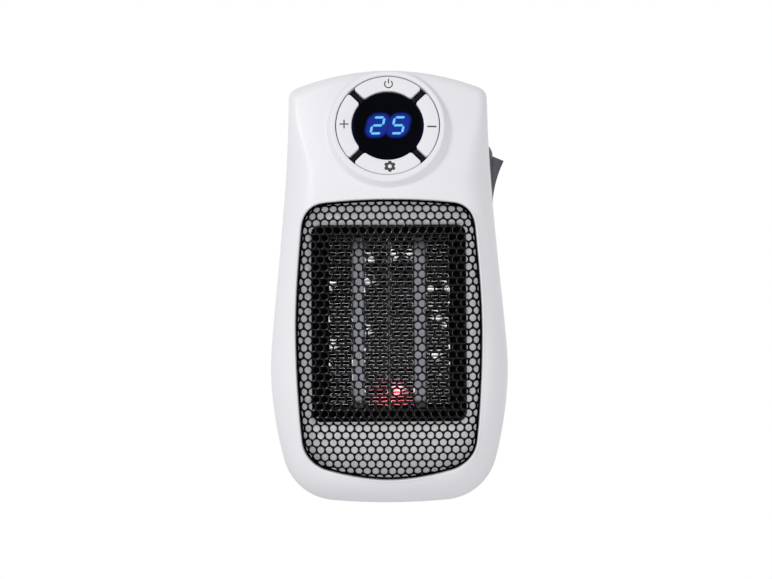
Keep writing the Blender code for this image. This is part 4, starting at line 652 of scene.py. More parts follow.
# Fan: a black impeller on its motor, in a shroud that also carries the motor's spider. Moulded parts
# round a drawn steel can. They keep their built shapes and show only dimly between the fins.

FAN_BLACK = moulded("fan_plastic", (0.030, 0.030, 0.034), 0.45, grain=700, bump=0.08, spread=0.1)
dressed(FAN_BLACK, "fan_shroud", "impeller")
dressed(STEEL, "motor_can", "motor_shaft")

# Swivel retainer: a black moulded ring, screwed on from inside, which keeps the plug's neck in the
# back shell. A sprung steel washer under it gives the friction that holds the heater at an angle.

FRAME_BLACK = moulded(
    "frame_black", (0.002, 0.002, 0.0025), 0.6, grain=600, bump=0.08, spread=0.1, sheen=0.03
)
dressed(FRAME_BLACK, "swivel_retainer")
dressed(STEEL, "spring_washer", "retainer_screw_1", "retainer_screw_2", "retainer_screw_3")

# Element frame: a black heat-resistant moulding, the dark tunnel between the element and the baffle.
# The thermal cut-out in its ceramic case and the temperature sensor sit on it.

CUTOUT_WHITE = moulded("cutout_ceramic", (0.72, 0.69, 0.62), 0.6, grain=800, bump=0.1)
dressed(FRAME_BLACK, "ptc_frame", "temperature_sensor")
dressed(CUTOUT_WHITE, "thermal_cutout")

# Electronics: two green printed boards with a relay, a capacitor and the tact switches soldered on,
# joined by insulated leads. All of it lies hidden in the shells and keeps its built shapes.

LEAD_RED = moulded("lead_insulation", (0.42, 0.03, 0.03), 0.55, grain=500, bump=0.06, spread=0.06)
BOARD = moulded("board_green", (0.04, 0.17, 0.08), 0.45, grain=260, bump=0.12, spread=0.12)
RELAY = moulded("relay_blue", (0.06, 0.12, 0.34), 0.42, grain=600, bump=0.05)
dressed(BOARD, "power_board", "control_board")
dressed(RELAY, "relay")
dressed(CUTOUT_WHITE, "capacitor")
dressed(LEAD_RED, "heater_lead_live", "heater_lead_neutral", "display_lead")
dressed(PLATED, "switch_terminal_1", "switch_terminal_2")
dressed(FRAME_BLACK, "display_module", "tact_switch_power", "tact_switch_plus")
dressed(FRAME_BLACK, "tact_switch_settings", "tact_switch_minus")

# Element tubes and contact plate: anodised aluminium tubes that hold the heating stones, and the thin
# plate between the two middle fin stacks. Extruded and pressed, glued to the fins on both sides.

HEATER_UP = 73.63
HEATER_HALF = 34.8
TUBE_GREY = moulded("tube_anodised", (0.50, 0.51, 0.58), 0.42, grain=500, bump=0.06, spread=0.05)
PLATE_GREY = moulded("contact_plate", (0.16, 0.16, 0.165), 0.55, grain=500, bump=0.06, spread=0.08)
dressed(TUBE_GREY, "element_tube_left", "element_tube_right")
dressed(PLATE_GREY, "contact_plate")


def paint_shade(made, axis, at, clear, dark, least):
    """Paints shade into a finish along an axis: its colour darkens between a clear and a dark distance in
    millimetres from a place in metres, down to the least share of its colour, standing in for the shade in
    a deep narrow opening."""
    tree = made.node_tree
    along = added(tree, "SeparateXYZ", {"Vector": added(tree, "TexCoord", {}, "Object")}, axis)
    span = {"From Min": at + clear / 1000, "From Max": at + dark / 1000, "To Min": 1.0, "To Max": least}
    fade = added(tree, "MapRange", {"Value": along, **span})
    colour = tree.nodes["Principled BSDF"].inputs["Base Color"].links[0].from_socket
    coat(tree, {"Base Color": added(tree, "VectorMath", {0: colour, "Scale": fade}, operation="SCALE")})


END_UP = place((0, HEATER_UP + HEATER_HALF, 0), HOUSING)[2]
FOOT_UP = place((0, HEATER_UP - HEATER_HALF, 0), HOUSING)[2]
# Painted shade: the tubes' colour darkens towards their top and bottom ends, where shade falls in the tunnel.
paint_shade(TUBE_GREY, "Z", END_UP, -6.5, -1.5, 0.04)
paint_shade(TUBE_GREY, "Z", FOOT_UP, 3.4, 2.2, 0.04)

# Fins: four stacks of thin aluminium strip, folded to and fro between the tubes and rippled across
# their depth to stir the air. Painted shade darkens them deeper in and near the top, and low in the
# two middle stacks a red glow is painted on them as emission, standing in for red light on the fins.

FIN_RISE = 1.48
FIN_BACK = 37.9
FIN_DEPTH = 12.0
FIN_WIDTH = 9.4
FIN_LEFTS = (-24.6, -10.0, 0.6, 15.2)
FIN_SHEET = 0.2
FIN_WAVE = 0.62
FIN_WAVES = 2.25
FOLD_SHARP = 1.9
BENT_BY = 1.35
BENT_FROM = 0.98
BENT_AT = (
    (-8.0, 100.6), (1.4, 101.5), (9.6, 102.0), (-24.0, 89.5), (-8.6, 91.0), (24.2, 89.0), (19.5, 76.5),
    (24.3, 73.5), (19.0, 60.5), (-23.6, 65.0), (-9.2, 71.0), (3.0, 46.5), (17.0, 88.0),
)
FIN_METAL = moulded(
    "fin_aluminium", (0.84, 0.84, 0.86), 0.26, grain=420, bump=0.25, spread=0.08, metallic=1.0
)
# Painted shade: the fins' colour darkens with depth behind their front edges, and towards the top of the
# stacks.
paint_shade(FIN_METAL, "Y", place((0, 0, FIN_BACK + FIN_DEPTH), HOUSING)[1], 0.3, 2.6, 0.16)
paint_shade(FIN_METAL, "Z", END_UP, -4.5, -0.5, 0.20)


def folded_strip(left, phase):
    """A strip folded into level runs joined by bends: across = a clipped triangle wave, up = a stair of
    smooth steps at the bends, plus a sine of the depth that is the same for all runs of a stack. Where a
    fin is bent, its front edge hangs by a bell curve of the distance to the bent place."""
    runs = int(2 * HEATER_HALF / FIN_RISE)
    along = np.linspace(0, runs, runs * 14 + 1)
    deep = np.append(np.linspace(0, 0.95, 16), (BENT_FROM, 1.0))[:, None]
    wave = np.arcsin(0.992 * np.sin(np.pi * (along + 0.5))) / np.arcsin(0.992)
    wave = np.tanh(FOLD_SHARP * wave) / math.tanh(FOLD_SHARP)
    across = left + FIN_WIDTH / 2 + wave * (FIN_WIDTH / 2 - 0.15)
    bend = along - np.round(along)
    stair = np.round(along) + 0.5 * np.tanh(bend / 0.09) / math.tanh(0.5 / 0.09)
    wander = 0.10 * np.sin(along * 0.71 + phase) + 0.06 * np.sin(across * 0.9 + along * 1.3)
    height = FIN_WAVE + 0.10 * np.sin(along * 0.37 + 3 * phase) + 0.08 * np.sin(across * 1.1 + along * 0.8)
    ripple = height * np.sin(deep * FIN_WAVES * 2 * np.pi)
    up = HEATER_UP - HEATER_HALF + stair * FIN_RISE + wander + ripple
    bent = sum(np.exp(-(((across - x) / 1.9) ** 2) - ((up - y) / 1.7) ** 2) for x, y in BENT_AT)
    up = up - BENT_BY * np.clip(1.9 * bent, 0, 1) * np.clip((deep - BENT_FROM) / 0.02, 0, 1)
    front = FIN_BACK + 0.3 + (FIN_DEPTH - 0.6 + 0.12 * np.sin(along * 5.1 + phase * 2)) * deep
    return np.stack(np.broadcast_arrays(across, up, front), axis=-1)


def painted_glow(name, like, middle, reach):
    """The metal of the fins with painted red light: an emission, though the fins are no lamp, that stands in
    for red light falling on them and fades from its middle: the distance over the reach on each axis, plus
    a little noise, is the share of the way from red to black."""
    made = like.copy()
    made.name = name
    tree = made.node_tree
    where = added(tree, "TexCoord", {}, "Object")
    centred = added(tree, "VectorMath", {0: where, 1: tuple(middle)}, operation="SUBTRACT")
    scaled = added(tree, "VectorMath", {0: centred, 1: tuple(reach)}, operation="DIVIDE")
    length = added(tree, "VectorMath", {0: scaled}, "Value", operation="LENGTH")
    stir = added(tree, "TexNoise", {"Vector": where, "Scale": 260})
    share = added(tree, "Math", {0: stir, 1: 0.55, 2: length}, operation="MULTIPLY_ADD")
    core, red = (0.28, (1.0, 0.20, 0.05)), (0.50, (0.60, 0.014, 0.035))
    glow = tinted(tree, share, core, red, (0.78, (0.12, 0, 0.008)), (1.0, (0, 0, 0)))
    # Painted light: red emission on the fin metal, standing in for red light falling on the fins.
    coat(tree, {"Emission Color": glow, "Emission Strength": 2.4})
    return made


# The painted red light is brightest here, low between the two middle stacks.
GLOW_MIDDLE = (1.6, 41.6, 50.0)
GLOW_REACH = (17.0, 2.0, 16.0)
PAINTED_GLOW = painted_glow("fin_painted_glow", FIN_METAL, place(GLOW_MIDDLE, HOUSING), np.array(GLOW_REACH) / 1000)
for k, (left, finish) in enumerate(zip(FIN_LEFTS, (FIN_METAL, PAINTED_GLOW, PAINTED_GLOW, FIN_METAL)), 1):
    grids = [folded_strip(left, 1.7 * k)]
    made = piece(f"fin_stack_{k}_fine", grids, HOUSING, "housing", finish, "fin_aluminium", f"fin_stack_{k}")
    sheet = made.modifiers.new("sheet", "SOLIDIFY")
    sheet.thickness = FIN_SHEET / 1000
    sheet.offset = 0

# Baffle: a light grey moulding behind the grille. Its edge rolls back into the tunnel round the
# outlet, and its lower part is folded backwards along a crease.

BAFFLE_FRONT = 66.0
BAFFLE_SHEET = 1.6
BAFFLE_GAP = 2.0
FOLD_UP = 28.0
FOLD_SLOPE = 0.27
OUTLET_HALF = np.array((31.2, 39.75))
OUTLET_CORNER = 3.5
ROLL = 3.2
BAFFLE_GREY = moulded("baffle_plastic", (0.94, 0.94, 0.965), 0.55)


def box_loop(half, corner, arc, runs):
    """A closed rectangle with round corners: each quarter is an arc and a straight run to the next arc."""
    spans = []
    sides = np.array(((1, 1), (-1, 1), (-1, -1), (1, -1), (1, 1)))
    for k in range(4):
        turn = unit(np.pi / 2 * (k + np.linspace(0, 1, arc + 1)))
        bend = sides[k] * (half - corner) + corner * turn
        after = sides[k + 1] * (half - corner) + corner * turn[-1]
        straight = np.linspace(0, 1, runs[k % 2] + 1)[1:-1, None]
        spans += [bend, bend[-1] + (after - bend[-1]) * straight]
    return np.vstack(spans + [spans[0][:1]])


middle = np.array((0, HEATER_UP))
loops = []
for grow, down in quarter(8) * ROLL:
    loops.append(at_level(box_loop(OUTLET_HALF + grow, OUTLET_CORNER + grow, 10, (40, 50)) + middle, -down))
inner_flat = loops[-1][:, :2]
edge_out = seen_from(window_line - window_inwards * BAFFLE_GAP, middle, direction(inner_flat, middle))
loops += [at_level(inner_flat + (edge_out - inner_flat) * share, 0) for share in np.linspace(0, 1, 14)[1:]]
front_side = np.array(loops)
back_side = front_side[::-1] - (0, 0, BAFFLE_SHEET)
back_side[-8:] -= (0, 0, 0.3)
grid = np.concatenate((front_side, back_side, front_side[:1]))
grid[..., 2] += BAFFLE_FRONT - FOLD_SLOPE * np.maximum(FOLD_UP - grid[..., 1], 0)
piece("air_baffle_fine", [grid], HOUSING, "housing", BAFFLE_GREY, "baffle_plastic", "air_baffle")

# Grille: thin sheet steel, punched with round holes in offset rows and painted black, with a light
# coat behind. It follows the shell's face 2 mm below it, and its border is pressed back round a bend,
# with its holes, into the window.

HOLE_PITCH = 3.425
ROW_PITCH = 2.966
HOLE_RADIUS = 1.38
ROW_UP = 117.3
LATTICE_TURN = 0.0058
SHEET = 0.6
RECESS = 2.0
MARGIN = 0.3
BEND = 2.6
REACH = 4.9
HEM = 3.9
HEM_PROUD = 0.12
BLACK_PAINT = moulded(
    "grille_black", (0.002, 0.002, 0.0034), 0.40, grain=1100, bump=0.08, spread=0.15, sheen=0.03
)
PAINT_BEAD = moulded(
    "grille_hole_edge", (0.003, 0.003, 0.0045), 0.24, grain=1100, bump=0.03, spread=0.1, sheen=0.45
)
BACK_COAT = moulded("grille_back_coat", (0.78, 0.78, 0.80), 0.6, grain=700, spread=0.03)
bend_line = window_line + window_inwards * (MARGIN + BEND)


def sheet_place(flat, below):
    """Places on the pressed sheet: a flat place beyond the bend line goes round an arc of the bend's radius
    and then straight back, and then lies below the sheet's front, square to it."""
    gap, index = to_line(flat, window_edge)
    gap = gap - MARGIN - BEND
    beyond = np.clip(-gap, 0, REACH)
    turn = np.minimum(beyond / BEND, np.pi / 2)
    back = BEND * (1 - np.cos(turn)) + np.maximum(beyond - BEND * np.pi / 2, 0)
    anchor = np.where((gap < 0)[:, None], bend_line[index], flat)
    flat = anchor - window_inwards[index] * ((BEND - below) * np.sin(turn))[:, None]
    return at_level(flat, face_depth(flat) - RECESS - back - below * np.cos(turn))


def punched_sheet():
    """Cells of the hole pattern, all at once: each is a hexagon joined to its hole's rolled edge and wall.
    A row at a run s past the start of a bend seems s³ / 6r² closer, as it is punched before pressing."""
    rows, columns = np.meshgrid(np.arange(-38, 5), np.arange(-13, 14), indexing="ij")
    run = ROW_UP + rows * ROW_PITCH
    up = run + np.maximum(LOWER_BEND_FROM - run, 0) ** 3 / (6 * LOWER_BEND**2)
    up -= np.maximum(run - UPPER_BEND_FROM, 0) ** 3 / (6 * UPPER_BEND**2)
    across = (columns + (rows % 2) / 2) * HOLE_PITCH - LATTICE_TURN * (ROW_UP - up)
    middle = np.stack((across, up), axis=-1).reshape(-1, 2)
    gap, _ = to_line(middle, window_edge)
    middle = middle[gap > MARGIN + BEND - REACH + 0.3]
    hole = unit(np.radians(np.arange(0, 390, 30) + 30))
    hexagon = hole * (HOLE_PITCH / 2, ROW_PITCH / 1.5) / (math.cos(np.pi / 6), 1)
    hexagon[1::2] = (hexagon[0:-1:2] + hexagon[2::2]) / 2
    loops = (
        (hexagon, 0.0), (hole * (HOLE_RADIUS + 0.26), 0.0), (hole * (HOLE_RADIUS + 0.03), 0.11),
        (hole * HOLE_RADIUS, 0.18), (hole * HOLE_RADIUS, SHEET), (hexagon, SHEET),
    )
    grids = []
    for loop, below in loops:
        flat = (middle[:, None] + loop).reshape(-1, 2)
        grids.append(sheet_place(flat, below).reshape(len(middle), len(hole), 3))
    return np.stack(grids, axis=1)


hem = []
top, under = -HEM_PROUD, SHEET + HEM_PROUD
for far, below in ((HEM, top), (REACH, top), (REACH, under), (HEM, under)):
    flat = bend_line - window_inwards * far
    hem.append(sheet_place(np.vstack((flat, flat[:1]))[::6], below) - (0, 0, 0.1 if far == REACH else 0))
grids = [*punched_sheet(), np.array(hem + hem[:1])]
grille = piece(
    "grille_mesh_fine", grids, HOUSING, "housing", BLACK_PAINT, "black_sheet", "grille_mesh", sharp=19
)
grille.data.materials.append(PAINT_BEAD)
grille.data.materials.append(BACK_COAT)
polygons = grille.data.polygons
middles, squares = np.empty(len(polygons) * 3), np.empty(len(polygons) * 3)
polygons.foreach_get("center", middles)
polygons.foreach_get("normal", squares)
middles = (middles.reshape(-1, 3) * 1000 - HOUSING[0]) @ HOUSING[1].T
forwards = squares.reshape(-1, 3) @ HOUSING[1][2]
gap, _ = to_line(middles[:, :2], window_edge)
level = gap > MARGIN + BEND
at_front = middles[:, 2] > face_depth(middles[:, :2]) - RECESS - 0.3
on_edge = level & (np.abs(forwards) < 0.93) & at_front
on_back = level & (forwards < -0.93)
polygons.foreach_set("material_index", (on_edge + 2 * on_back).astype(np.int32))

# Button frame: a glossy black moulding under the buttons. A thin dark line of it shows round the
# buttons, and four rounded ribs rise between them.

GLOSS_BLACK = moulded(
    "panel_black", (0.003, 0.003, 0.004), 0.16, grain=500, bump=0.02, spread=0.1, sheen=0.12
)
frame_corners = [
    (13.0, -3.8), (13.0, -2.6), (20.9, -2.6), (20.9, -6.5), (22.7, -6.5), (22.7, -7.7),
    (20.0, -7.7), (20.0, -3.8), (13.0, -3.8),
]


def turned(points, degrees):
    """Points drawn at the top of the panel, turned round its middle."""
    c, s = math.cos(math.radians(degrees)), math.sin(math.radians(degrees))
    return points @ np.array(((c, s, 0), (-s, c, 0), (0, 0, 1)))


rib = bar((14.6, -1.0, -3.0), (20.8, 1.0, -0.3), edge=0.45)
grids = [lathe(rounded(frame_corners, [0.2, 0.3, 0, 0.2, 0.2, 0, 0]), 128)]
grids += [turned(rib, degrees) for degrees in (45, 135, 225, 315)]
piece("button_frame_fine", grids, PANEL, "housing", GLOSS_BLACK, "black_plastic", "button_frame")

# Buttons: four white mouldings round the display, each a quarter of a ring with round corners and a
# slightly crowned top. Each stands on a post over its switch and is pressed by itself. The signs are
# printed on their tops.

BUTTON_MIDDLE = 17.8
BUTTON_HALF = 3.1
BUTTON_TOP = 0.9
BUTTON_BACK = -1.7
BUTTON_EDGE = 0.45
BUTTON_CORNER = 1.15
BUTTON_CROWN = 0.14
BUTTON_GAP = 1.4
POST_OUT = 17.4
POST_RADIUS = 1.1
POST_FOOT = -5.2
PRINT = 0.03
PRINT_ROOT = -0.1
BUTTON_WHITE = moulded("button_plastic", (0.80, 0.79, 0.83), 0.30, grain=1400, bump=0.02, spread=0.006)
PRINT_GREY = moulded("print_grey", (0.030, 0.030, 0.036), 0.5, grain=900, bump=0.02)


def ring_loop(inset, level):
    """A loop of a button: a rectangle with round corners whose length is bent round the display, and
    whose ends stay parallel to the diagonals because its half angle is 45° less arcsin(gap / radius)."""
    length = BUTTON_MIDDLE * (np.pi / 4 - math.asin(BUTTON_GAP / BUTTON_MIDDLE))
    half = np.array((length - inset, max(BUTTON_HALF - inset, 0)))
    corner = min(max(BUTTON_CORNER - inset, 0.0), half[1])
    flat = box_loop(half, corner, 8, (36, 4))
    radius = BUTTON_MIDDLE + flat[:, 1]
    angle = flat[:, 0] / length * (np.pi / 4 - np.arcsin(BUTTON_GAP / radius))
    return at_level(radius[:, None] * unit(angle)[:, ::-1], level)


def crown(offset):
    """Height of a button's top at a distance from its middle line: a parabola between its edges."""
    return BUTTON_TOP + BUTTON_CROWN * (1 - np.clip(offset / (BUTTON_HALF - BUTTON_EDGE), -1, 1) ** 2)


def on_crown(flat, lift):
    """Flat places lifted by a height over the buttons' crowned tops."""
    return at_level(flat, crown(np.linalg.norm(flat, axis=1) - BUTTON_MIDDLE) + lift)


def band(left, right, lay, root, top):
    """A thin band between two flat lines, from its root up to its top, laid where a function says."""
    corners = ((left, root), (left, top), (right, top), (right, root), (left, root))
    return np.array([lay(line, level) for line, level in corners])


def printed(path, width):
    """A printed line of a width along a flat path on the buttons' crown, closed at both ends."""
    out = leftwards(np.gradient(path, axis=0)) * width / 2
    return closed(band(path + out, path - out, on_crown, PRINT_ROOT, PRINT).swapaxes(0, 1))


def stroke(first, last, width):
    """A straight printed line."""
    return printed(np.linspace(first, last, 6), width)


def gear(middle, hole, low, high, teeth=6):
    """A gear symbol: a flat ring whose outer radius steps up and down smoothly, once for each tooth."""
    angle = np.linspace(0, 2 * np.pi, teeth * 16 + 1)
    swing = np.tanh(2 * (np.cos(teeth * angle) + 0.35)) / math.tanh(2)
    outside = (low + (high - low) * (0.5 + 0.5 * swing))[:, None]
    turn = unit(angle + np.pi / 2)
    return band(middle + turn * hole, middle + turn * outside, on_crown, PRINT_ROOT, PRINT)


loops = [ring_loop(BUTTON_HALF, BUTTON_BACK), ring_loop(0.2, BUTTON_BACK), ring_loop(0, BUTTON_BACK + 0.2)]
loops += [ring_loop(out, BUTTON_TOP - down) for out, down in quarter(6) * BUTTON_EDGE]
loops += [ring_loop(far, crown(BUTTON_HALF - far)) for far in np.linspace(BUTTON_EDGE, BUTTON_HALF, 8)[1:]]
button = [np.array(loops), drum(POST_RADIUS, POST_FOOT, BUTTON_BACK + 0.3, (0, POST_OUT), steps=24)]
power_arc = unit(np.radians(128 + np.linspace(0, 284, 60))) * 1.58 + (0.42, 17.6)
signs = (
    ("power", 0, [printed(power_arc, 0.46), stroke((0.42, 17.8), (0.42, 19.8), 0.46)]),
    ("plus", 90, [stroke((-1.3, 17.65), (2.4, 17.65), 0.50), stroke((0.55, 15.8), (0.55, 19.5), 0.50)]),
    ("settings", 180, [gear((-0.8, 17.6), 0.80, 1.78, 2.36)]),
    ("minus", 270, [stroke((0.7, 16.05), (0.8, 19.75), 0.62)]),
)
for word, degrees, sign in signs:
    body = f"button_{word}"
    grids = [turned(grid, degrees) for grid in button]
    piece(f"{body}_fine", grids, PANEL, body, BUTTON_WHITE, "button_plastic", body)
    grids = [turned(grid, degrees) for grid in sign]
    piece(f"{word}_sign", grids, PANEL, body, PRINT_GREY, "button_plastic")

# Display: a black lens of clear-coated plastic over a digit module. The lit digits show through it,
# with a blue halo round each, and its rim picks up a little of the blue.

DIGIT_UP = 0.1
DIGIT_PLACES = (-4.1, 4.35)
DIGIT_WIDTH = 4.3
DIGIT_HEIGHT = 6.8
SLANT = math.tan(math.radians(12.5))
LENS_RADIUS = 14.3
LENS_TOP = 0.3
LENS_BACK = -1.9
HALO_CLEAR = 4.7
HALO_FULL = 2.6
RIM_FROM = 13.6
RIM_TO = 14.1


def maths(tree, operation, *values):
    """The result of an operation on values and on other nodes' outputs."""
    return added(tree, "Math", dict(enumerate(values)), operation=operation)


def far_from(tree, first, second):
    """The distance sqrt(a² + b²) of two sides."""
    squares = [maths(tree, "MULTIPLY", side, side) for side in (first, second)]
    return maths(tree, "SQRT", maths(tree, "ADD", *squares))


def past(tree, offset, half):
    """How far an offset in metres lies beyond a half size in millimetres, either way."""
    beyond = maths(tree, "SUBTRACT", maths(tree, "ABSOLUTE", offset), half / 1000)
    return maths(tree, "MAXIMUM", beyond, 0.0)


def panel_lens():
    """A near-black glossy lens, lit from behind round each digit: the glow fades from 2.6 to 4.7 mm outside
    a slanted box within the digit, and a faint line of it follows the rim at both sides."""
    made = moulded("lens_black", (0.001, 0.0014, 0.0024), 0.10, grain=300, bump=0.0, spread=0.1, sheen=0.02)
    tree = made.node_tree
    where = added(tree, "TexCoord", {}, "Object")
    x, y, z = PANEL[0] / 1000
    c, s = math.cos(LEAN), math.sin(LEAN)
    inputs = {"Vector": where, "Rotation": (LEAN, 0, 0), "Location": (-x, z * s - y * c, -y * s - z * c)}
    flat = added(tree, "Mapping", inputs)
    across, up = (added(tree, "SeparateXYZ", {"Vector": flat}, axis) for axis in "XZ")
    up = maths(tree, "SUBTRACT", up, DIGIT_UP / 1000)
    straight = maths(tree, "SUBTRACT", across, maths(tree, "MULTIPLY", up, SLANT))
    lobes = []
    for middle in DIGIT_PLACES:
        aside = past(tree, maths(tree, "SUBTRACT", straight, middle / 1000), DIGIT_WIDTH / 2 - 1.3)
        gap = far_from(tree, aside, past(tree, up, DIGIT_HEIGHT / 2 - 2.0))
        inputs = {"Value": gap, "From Min": HALO_CLEAR / 1000, "From Max": HALO_FULL / 1000}
        lobes.append(added(tree, "MapRange", inputs, interpolation_type="SMOOTHERSTEP"))
    inputs = {"Value": far_from(tree, across, up), "From Min": RIM_FROM / 1000, "From Max": RIM_TO / 1000}
    rim = added(tree, "MapRange", inputs)
    side = maths(tree, "POWER", maths(tree, "MULTIPLY", maths(tree, "ABSOLUTE", across), 45.0), 4.0)
    rim = maths(tree, "MULTIPLY", rim, maths(tree, "MULTIPLY", side, 0.55))
    light = maths(tree, "MAXIMUM", maths(tree, "MAXIMUM", *lobes), rim)
    blue = tinted(tree, light, (0, (0, 0, 0)), (1, (0.010, 0.028, 0.30)))
    coat(tree, {"Emission Color": blue, "Emission Strength": 1.0})
    return made


lens_corners = [(0, LENS_TOP), (LENS_RADIUS, LENS_TOP), (LENS_RADIUS, LENS_BACK), (0, LENS_BACK)]
grids = [lathe(rounded(lens_corners, [0.5, 0.2], steps=6), 128)]
piece("display_lens_fine", grids, PANEL, "housing", panel_lens(), "lens_black", "display_lens")

LIT = bpy.data.materials.new("digit_light")
LIT.use_nodes = True
tree = LIT.node_tree
flicker = added(tree, "TexNoise", {"Vector": added(tree, "TexCoord", {}, "Object"), "Scale": 700})
looks = {
    "Base Color": (0.02, 0.05, 0.10, 1), "Emission Strength": 1.0,
    "Emission Color": tinted(tree, flicker, (0, (0.075, 0.42, 0.80)), (1, (0.17, 0.62, 0.92))),
}
coat(tree, looks)
STROKE = 0.98
STROKE_TIPS = (0, 0.22, 0.55)
STROKE_WIDE = (0.0, 0.30, 0.5)
STROKE_GAP = 0.26
LIT_TOP = LENS_TOP + 0.03
LIT_ROOT = LENS_TOP - 0.1


def segment(first, last):
    """A lit segment: a bar with pointed ends between two points, a little short of both."""
    way = (last - first) / np.linalg.norm(last - first)
    length = np.linalg.norm(last - first) - 2 * STROKE_GAP
    at = np.array((*STROKE_TIPS, *(length - tip for tip in STROKE_TIPS[::-1])))
    wide = np.array((*STROKE_WIDE, *STROKE_WIDE[::-1])) * STROKE
    middle = first + way * (at + STROKE_GAP)[:, None]
    out = np.array((-way[1], way[0])) * wide[:, None]
    return band(middle + out, middle - out, at_level, LIT_ROOT, LIT_TOP)


def digit(number, middle):
    """The lit ones of a digit's usual seven segments, slanted to the right as they rise."""
    w, h = DIGIT_WIDTH / 2, DIGIT_HEIGHT / 2
    ends = {
        "top": ((-w, h), (w, h)), "middle": ((-w, 0), (w, 0)), "foot": ((-w, -h), (w, -h)),
        "high_left": ((-w, 0), (-w, h)), "high_right": ((w, 0), (w, h)),
        "low_left": ((-w, -h), (-w, 0)), "low_right": ((w, -h), (w, 0)),
    }
    sides = {2: ("high_right", "low_left"), 5: ("high_left", "low_right")}
    grids = []
    for name in ("top", "middle", "foot", *sides[number]):
        grid = segment(*np.array(ends[name], float))
        grid[..., 0] += grid[..., 1] * SLANT + middle
        grid[..., 1] += DIGIT_UP
        grids.append(grid)
    return grids


grids = digit(2, DIGIT_PLACES[0]) + digit(5, DIGIT_PLACES[1])
piece("display_digits", grids, PANEL, "housing", LIT, "lens_black")

# Rocker switch: a dark grey housing snapped into the side wall, with a domed bezel round a deep well,
# and the rocker that tilts in it. Its face is slightly dished and its ends splay out towards the well.

SWITCH_GREY = moulded("switch_plastic", (0.060, 0.057, 0.074), 0.40, grain=900, bump=0.06, spread=0.04)
SWITCH = place((43.24, 132.2, 22.0), HOUSING) * 1000
BEZEL_HALF = np.array((8.4, 14.3))
WELL_HALF = np.array((5.4, 10.35))
SOCKET_HALF = np.array((6.3, 11.2))
SWITCH_BACK = -14.5
BEZEL_BACK = -2.4
BEZEL_RISE = 1.75
WELL_DEEP = -12.0
loops = [
    (0 * SOCKET_HALF, 1e-6, SWITCH_BACK), (SOCKET_HALF - 0.4, 0.6, SWITCH_BACK),
    (SOCKET_HALF, 1.0, SWITCH_BACK + 0.4), (SOCKET_HALF, 1.0, BEZEL_BACK), (BEZEL_HALF, 6.0, BEZEL_BACK),
]
for s in np.linspace(0, 1, 14):
    loops.append((BEZEL_HALF + (WELL_HALF - BEZEL_HALF) * s, 6.0 - 5.0 * s, -BEZEL_RISE * (1 - s) ** 2))
loops += [
    (WELL_HALF - 0.12, 0.9, -0.08), (WELL_HALF - 0.18, 0.85, -0.3), (WELL_HALF - 0.18, 0.85, WELL_DEEP),
    (0 * WELL_HALF, 1e-6, WELL_DEEP),
]
grid = np.array([at_level(box_loop(half, corner, 8, (10, 14)), level) for half, corner, level in loops])
where = (SWITCH, np.array([(0, 1, 0), (0, 0, 1), (1, 0, 0)], float))
piece("switch_housing_fine", [grid], where, "housing", SWITCH_GREY, "switch_plastic", "switch_housing")

TILT = math.radians(15)
ROCKER = (
    SWITCH - (2.0, 0, 0),
    np.array([(math.cos(TILT), 0, -math.sin(TILT)), (math.sin(TILT), 0, math.cos(TILT)), (0, -1, 0)]),
)
ROCKER_HALF = 5.0
ROCKER_EDGE = 0.35
ROCKER_FOOT = -1.6
FACE_OUT = 4.4
FACE_END = 9.25
DISH = 0.9
half_side = [(ROCKER_FOOT, 3.9), (-0.95, 10.0), (FACE_OUT, FACE_END)]
dish = [(FACE_OUT - DISH * (1 - (y / FACE_END) ** 2), y) for y in np.linspace(8.4, -8.4, 15)]
side_line = rounded(
    [(ROCKER_FOOT, 0)] + half_side + dish + [(x, -y) for x, y in half_side[::-1]] + [(ROCKER_FOOT, 0)],
    [0.5, 0.6, 0.22] + [0] * 15 + [0.22, 0.6, 0.5], steps=5,
)[::-1]
side_inwards = inwards(side_line[:-1])
side_inwards = np.vstack((side_inwards, side_inwards[:1]))
loops = [at_level(side_line + side_inwards * far, out - ROCKER_HALF) for out, far in quarter(5) * ROCKER_EDGE]
loops += [loop * (1, 1, -1) for loop in loops[::-1]]
ends = [np.broadcast_to((1.2, 0, level), loops[0].shape) for level in (-ROCKER_HALF, ROCKER_HALF)]
grid = np.array([ends[0], *loops, ends[1]])
piece("rocker_fine", [grid], ROCKER, "rocker", SWITCH_GREY, "switch_plastic", "rocker")

# Studio: a pale paper floor and an evenly white room. The room lights the heater at a plain level, and
# shows as full white to the camera and in glossy or clear surfaces. Three soft lamps add to it: one
# from the front, a key from the upper left and a fill from the right. Lengths here are metres.

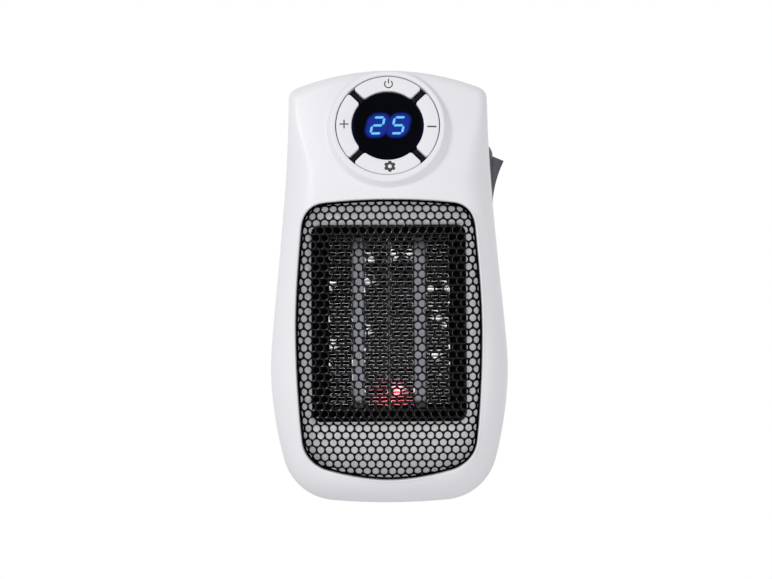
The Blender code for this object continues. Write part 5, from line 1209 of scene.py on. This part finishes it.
bpy.ops.mesh.primitive_circle_add(vertices=96, radius=1.1, fill_type="NGON", location=(0, 0, -0.262))
floor = bpy.context.object
floor.name = "floor"
PAPER = moulded("floor_paper", (0.90, 0.90, 0.90), 0.7, grain=200, bump=0.02, spread=0.01)
floor.data.materials.append(PAPER)

camera = bpy.data.objects.new("camera", bpy.data.cameras.new("camera"))
bpy.context.scene.collection.objects.link(camera)
bpy.context.scene.camera = camera
camera.data.lens = 200
camera.data.sensor_width = 36
target = np.array((-0.0012, -0.076, -0.0248))
azimuth, height, roll = np.radians((0.3, 0.6, 0.37))
away = 1.757
camera.location = target + away * np.array(
    (math.sin(azimuth) * math.cos(height), -math.cos(azimuth) * math.cos(height), math.sin(height))
)
aimed = Matrix.Rotation(azimuth, 3, "Z") @ Matrix.Rotation(math.pi / 2 - height, 3, "X")
camera.rotation_euler = (aimed @ Matrix.Rotation(-roll, 3, "Z")).to_euler()


def lamp(name, at, size, power):
    """A square white lamp, aimed at the middle of the heater's front."""
    data = bpy.data.lights.new(name, "AREA")
    data.size = size
    data.energy = power
    made = bpy.data.objects.new(name, data)
    bpy.context.scene.collection.objects.link(made)
    made.location = at
    made.rotation_euler = (Vector((0, -0.07, -0.02)) - Vector(at)).to_track_quat("-Z", "Y").to_euler()


lamp("front", (0.0, -2.2, 0.02), 0.3, 5.0)
lamp("key", (-1.15, -1.2, 0.9), 0.36, 11.5)
lamp("fill", (1.3, -0.9, -0.1), 0.6, 2.6)
ROOM_LIGHT = 0.545
world = bpy.data.worlds.new("white_room")
bpy.context.scene.world = world
world.use_nodes = True
tree = world.node_tree
room = tree.nodes["Background"]
feed(tree, room, {"Color": (1, 1, 1, 1), "Strength": ROOM_LIGHT})
shown = added(tree, "Background", {"Color": (1, 1, 1, 1), "Strength": 1.0})
rays = [added(tree, "LightPath", {}, f"Is {kind} Ray") for kind in ("Camera", "Glossy", "Transmission")]
shows = maths(tree, "MAXIMUM", maths(tree, "MAXIMUM", rays[0], rays[1]), rays[2])
mixed = added(tree, "MixShader", {"Fac": shows, 1: room.outputs["Background"], 2: shown})
feed(tree, tree.nodes["World Output"], {"Surface": mixed})
bpy.context.scene.view_settings.view_transform = "Standard"
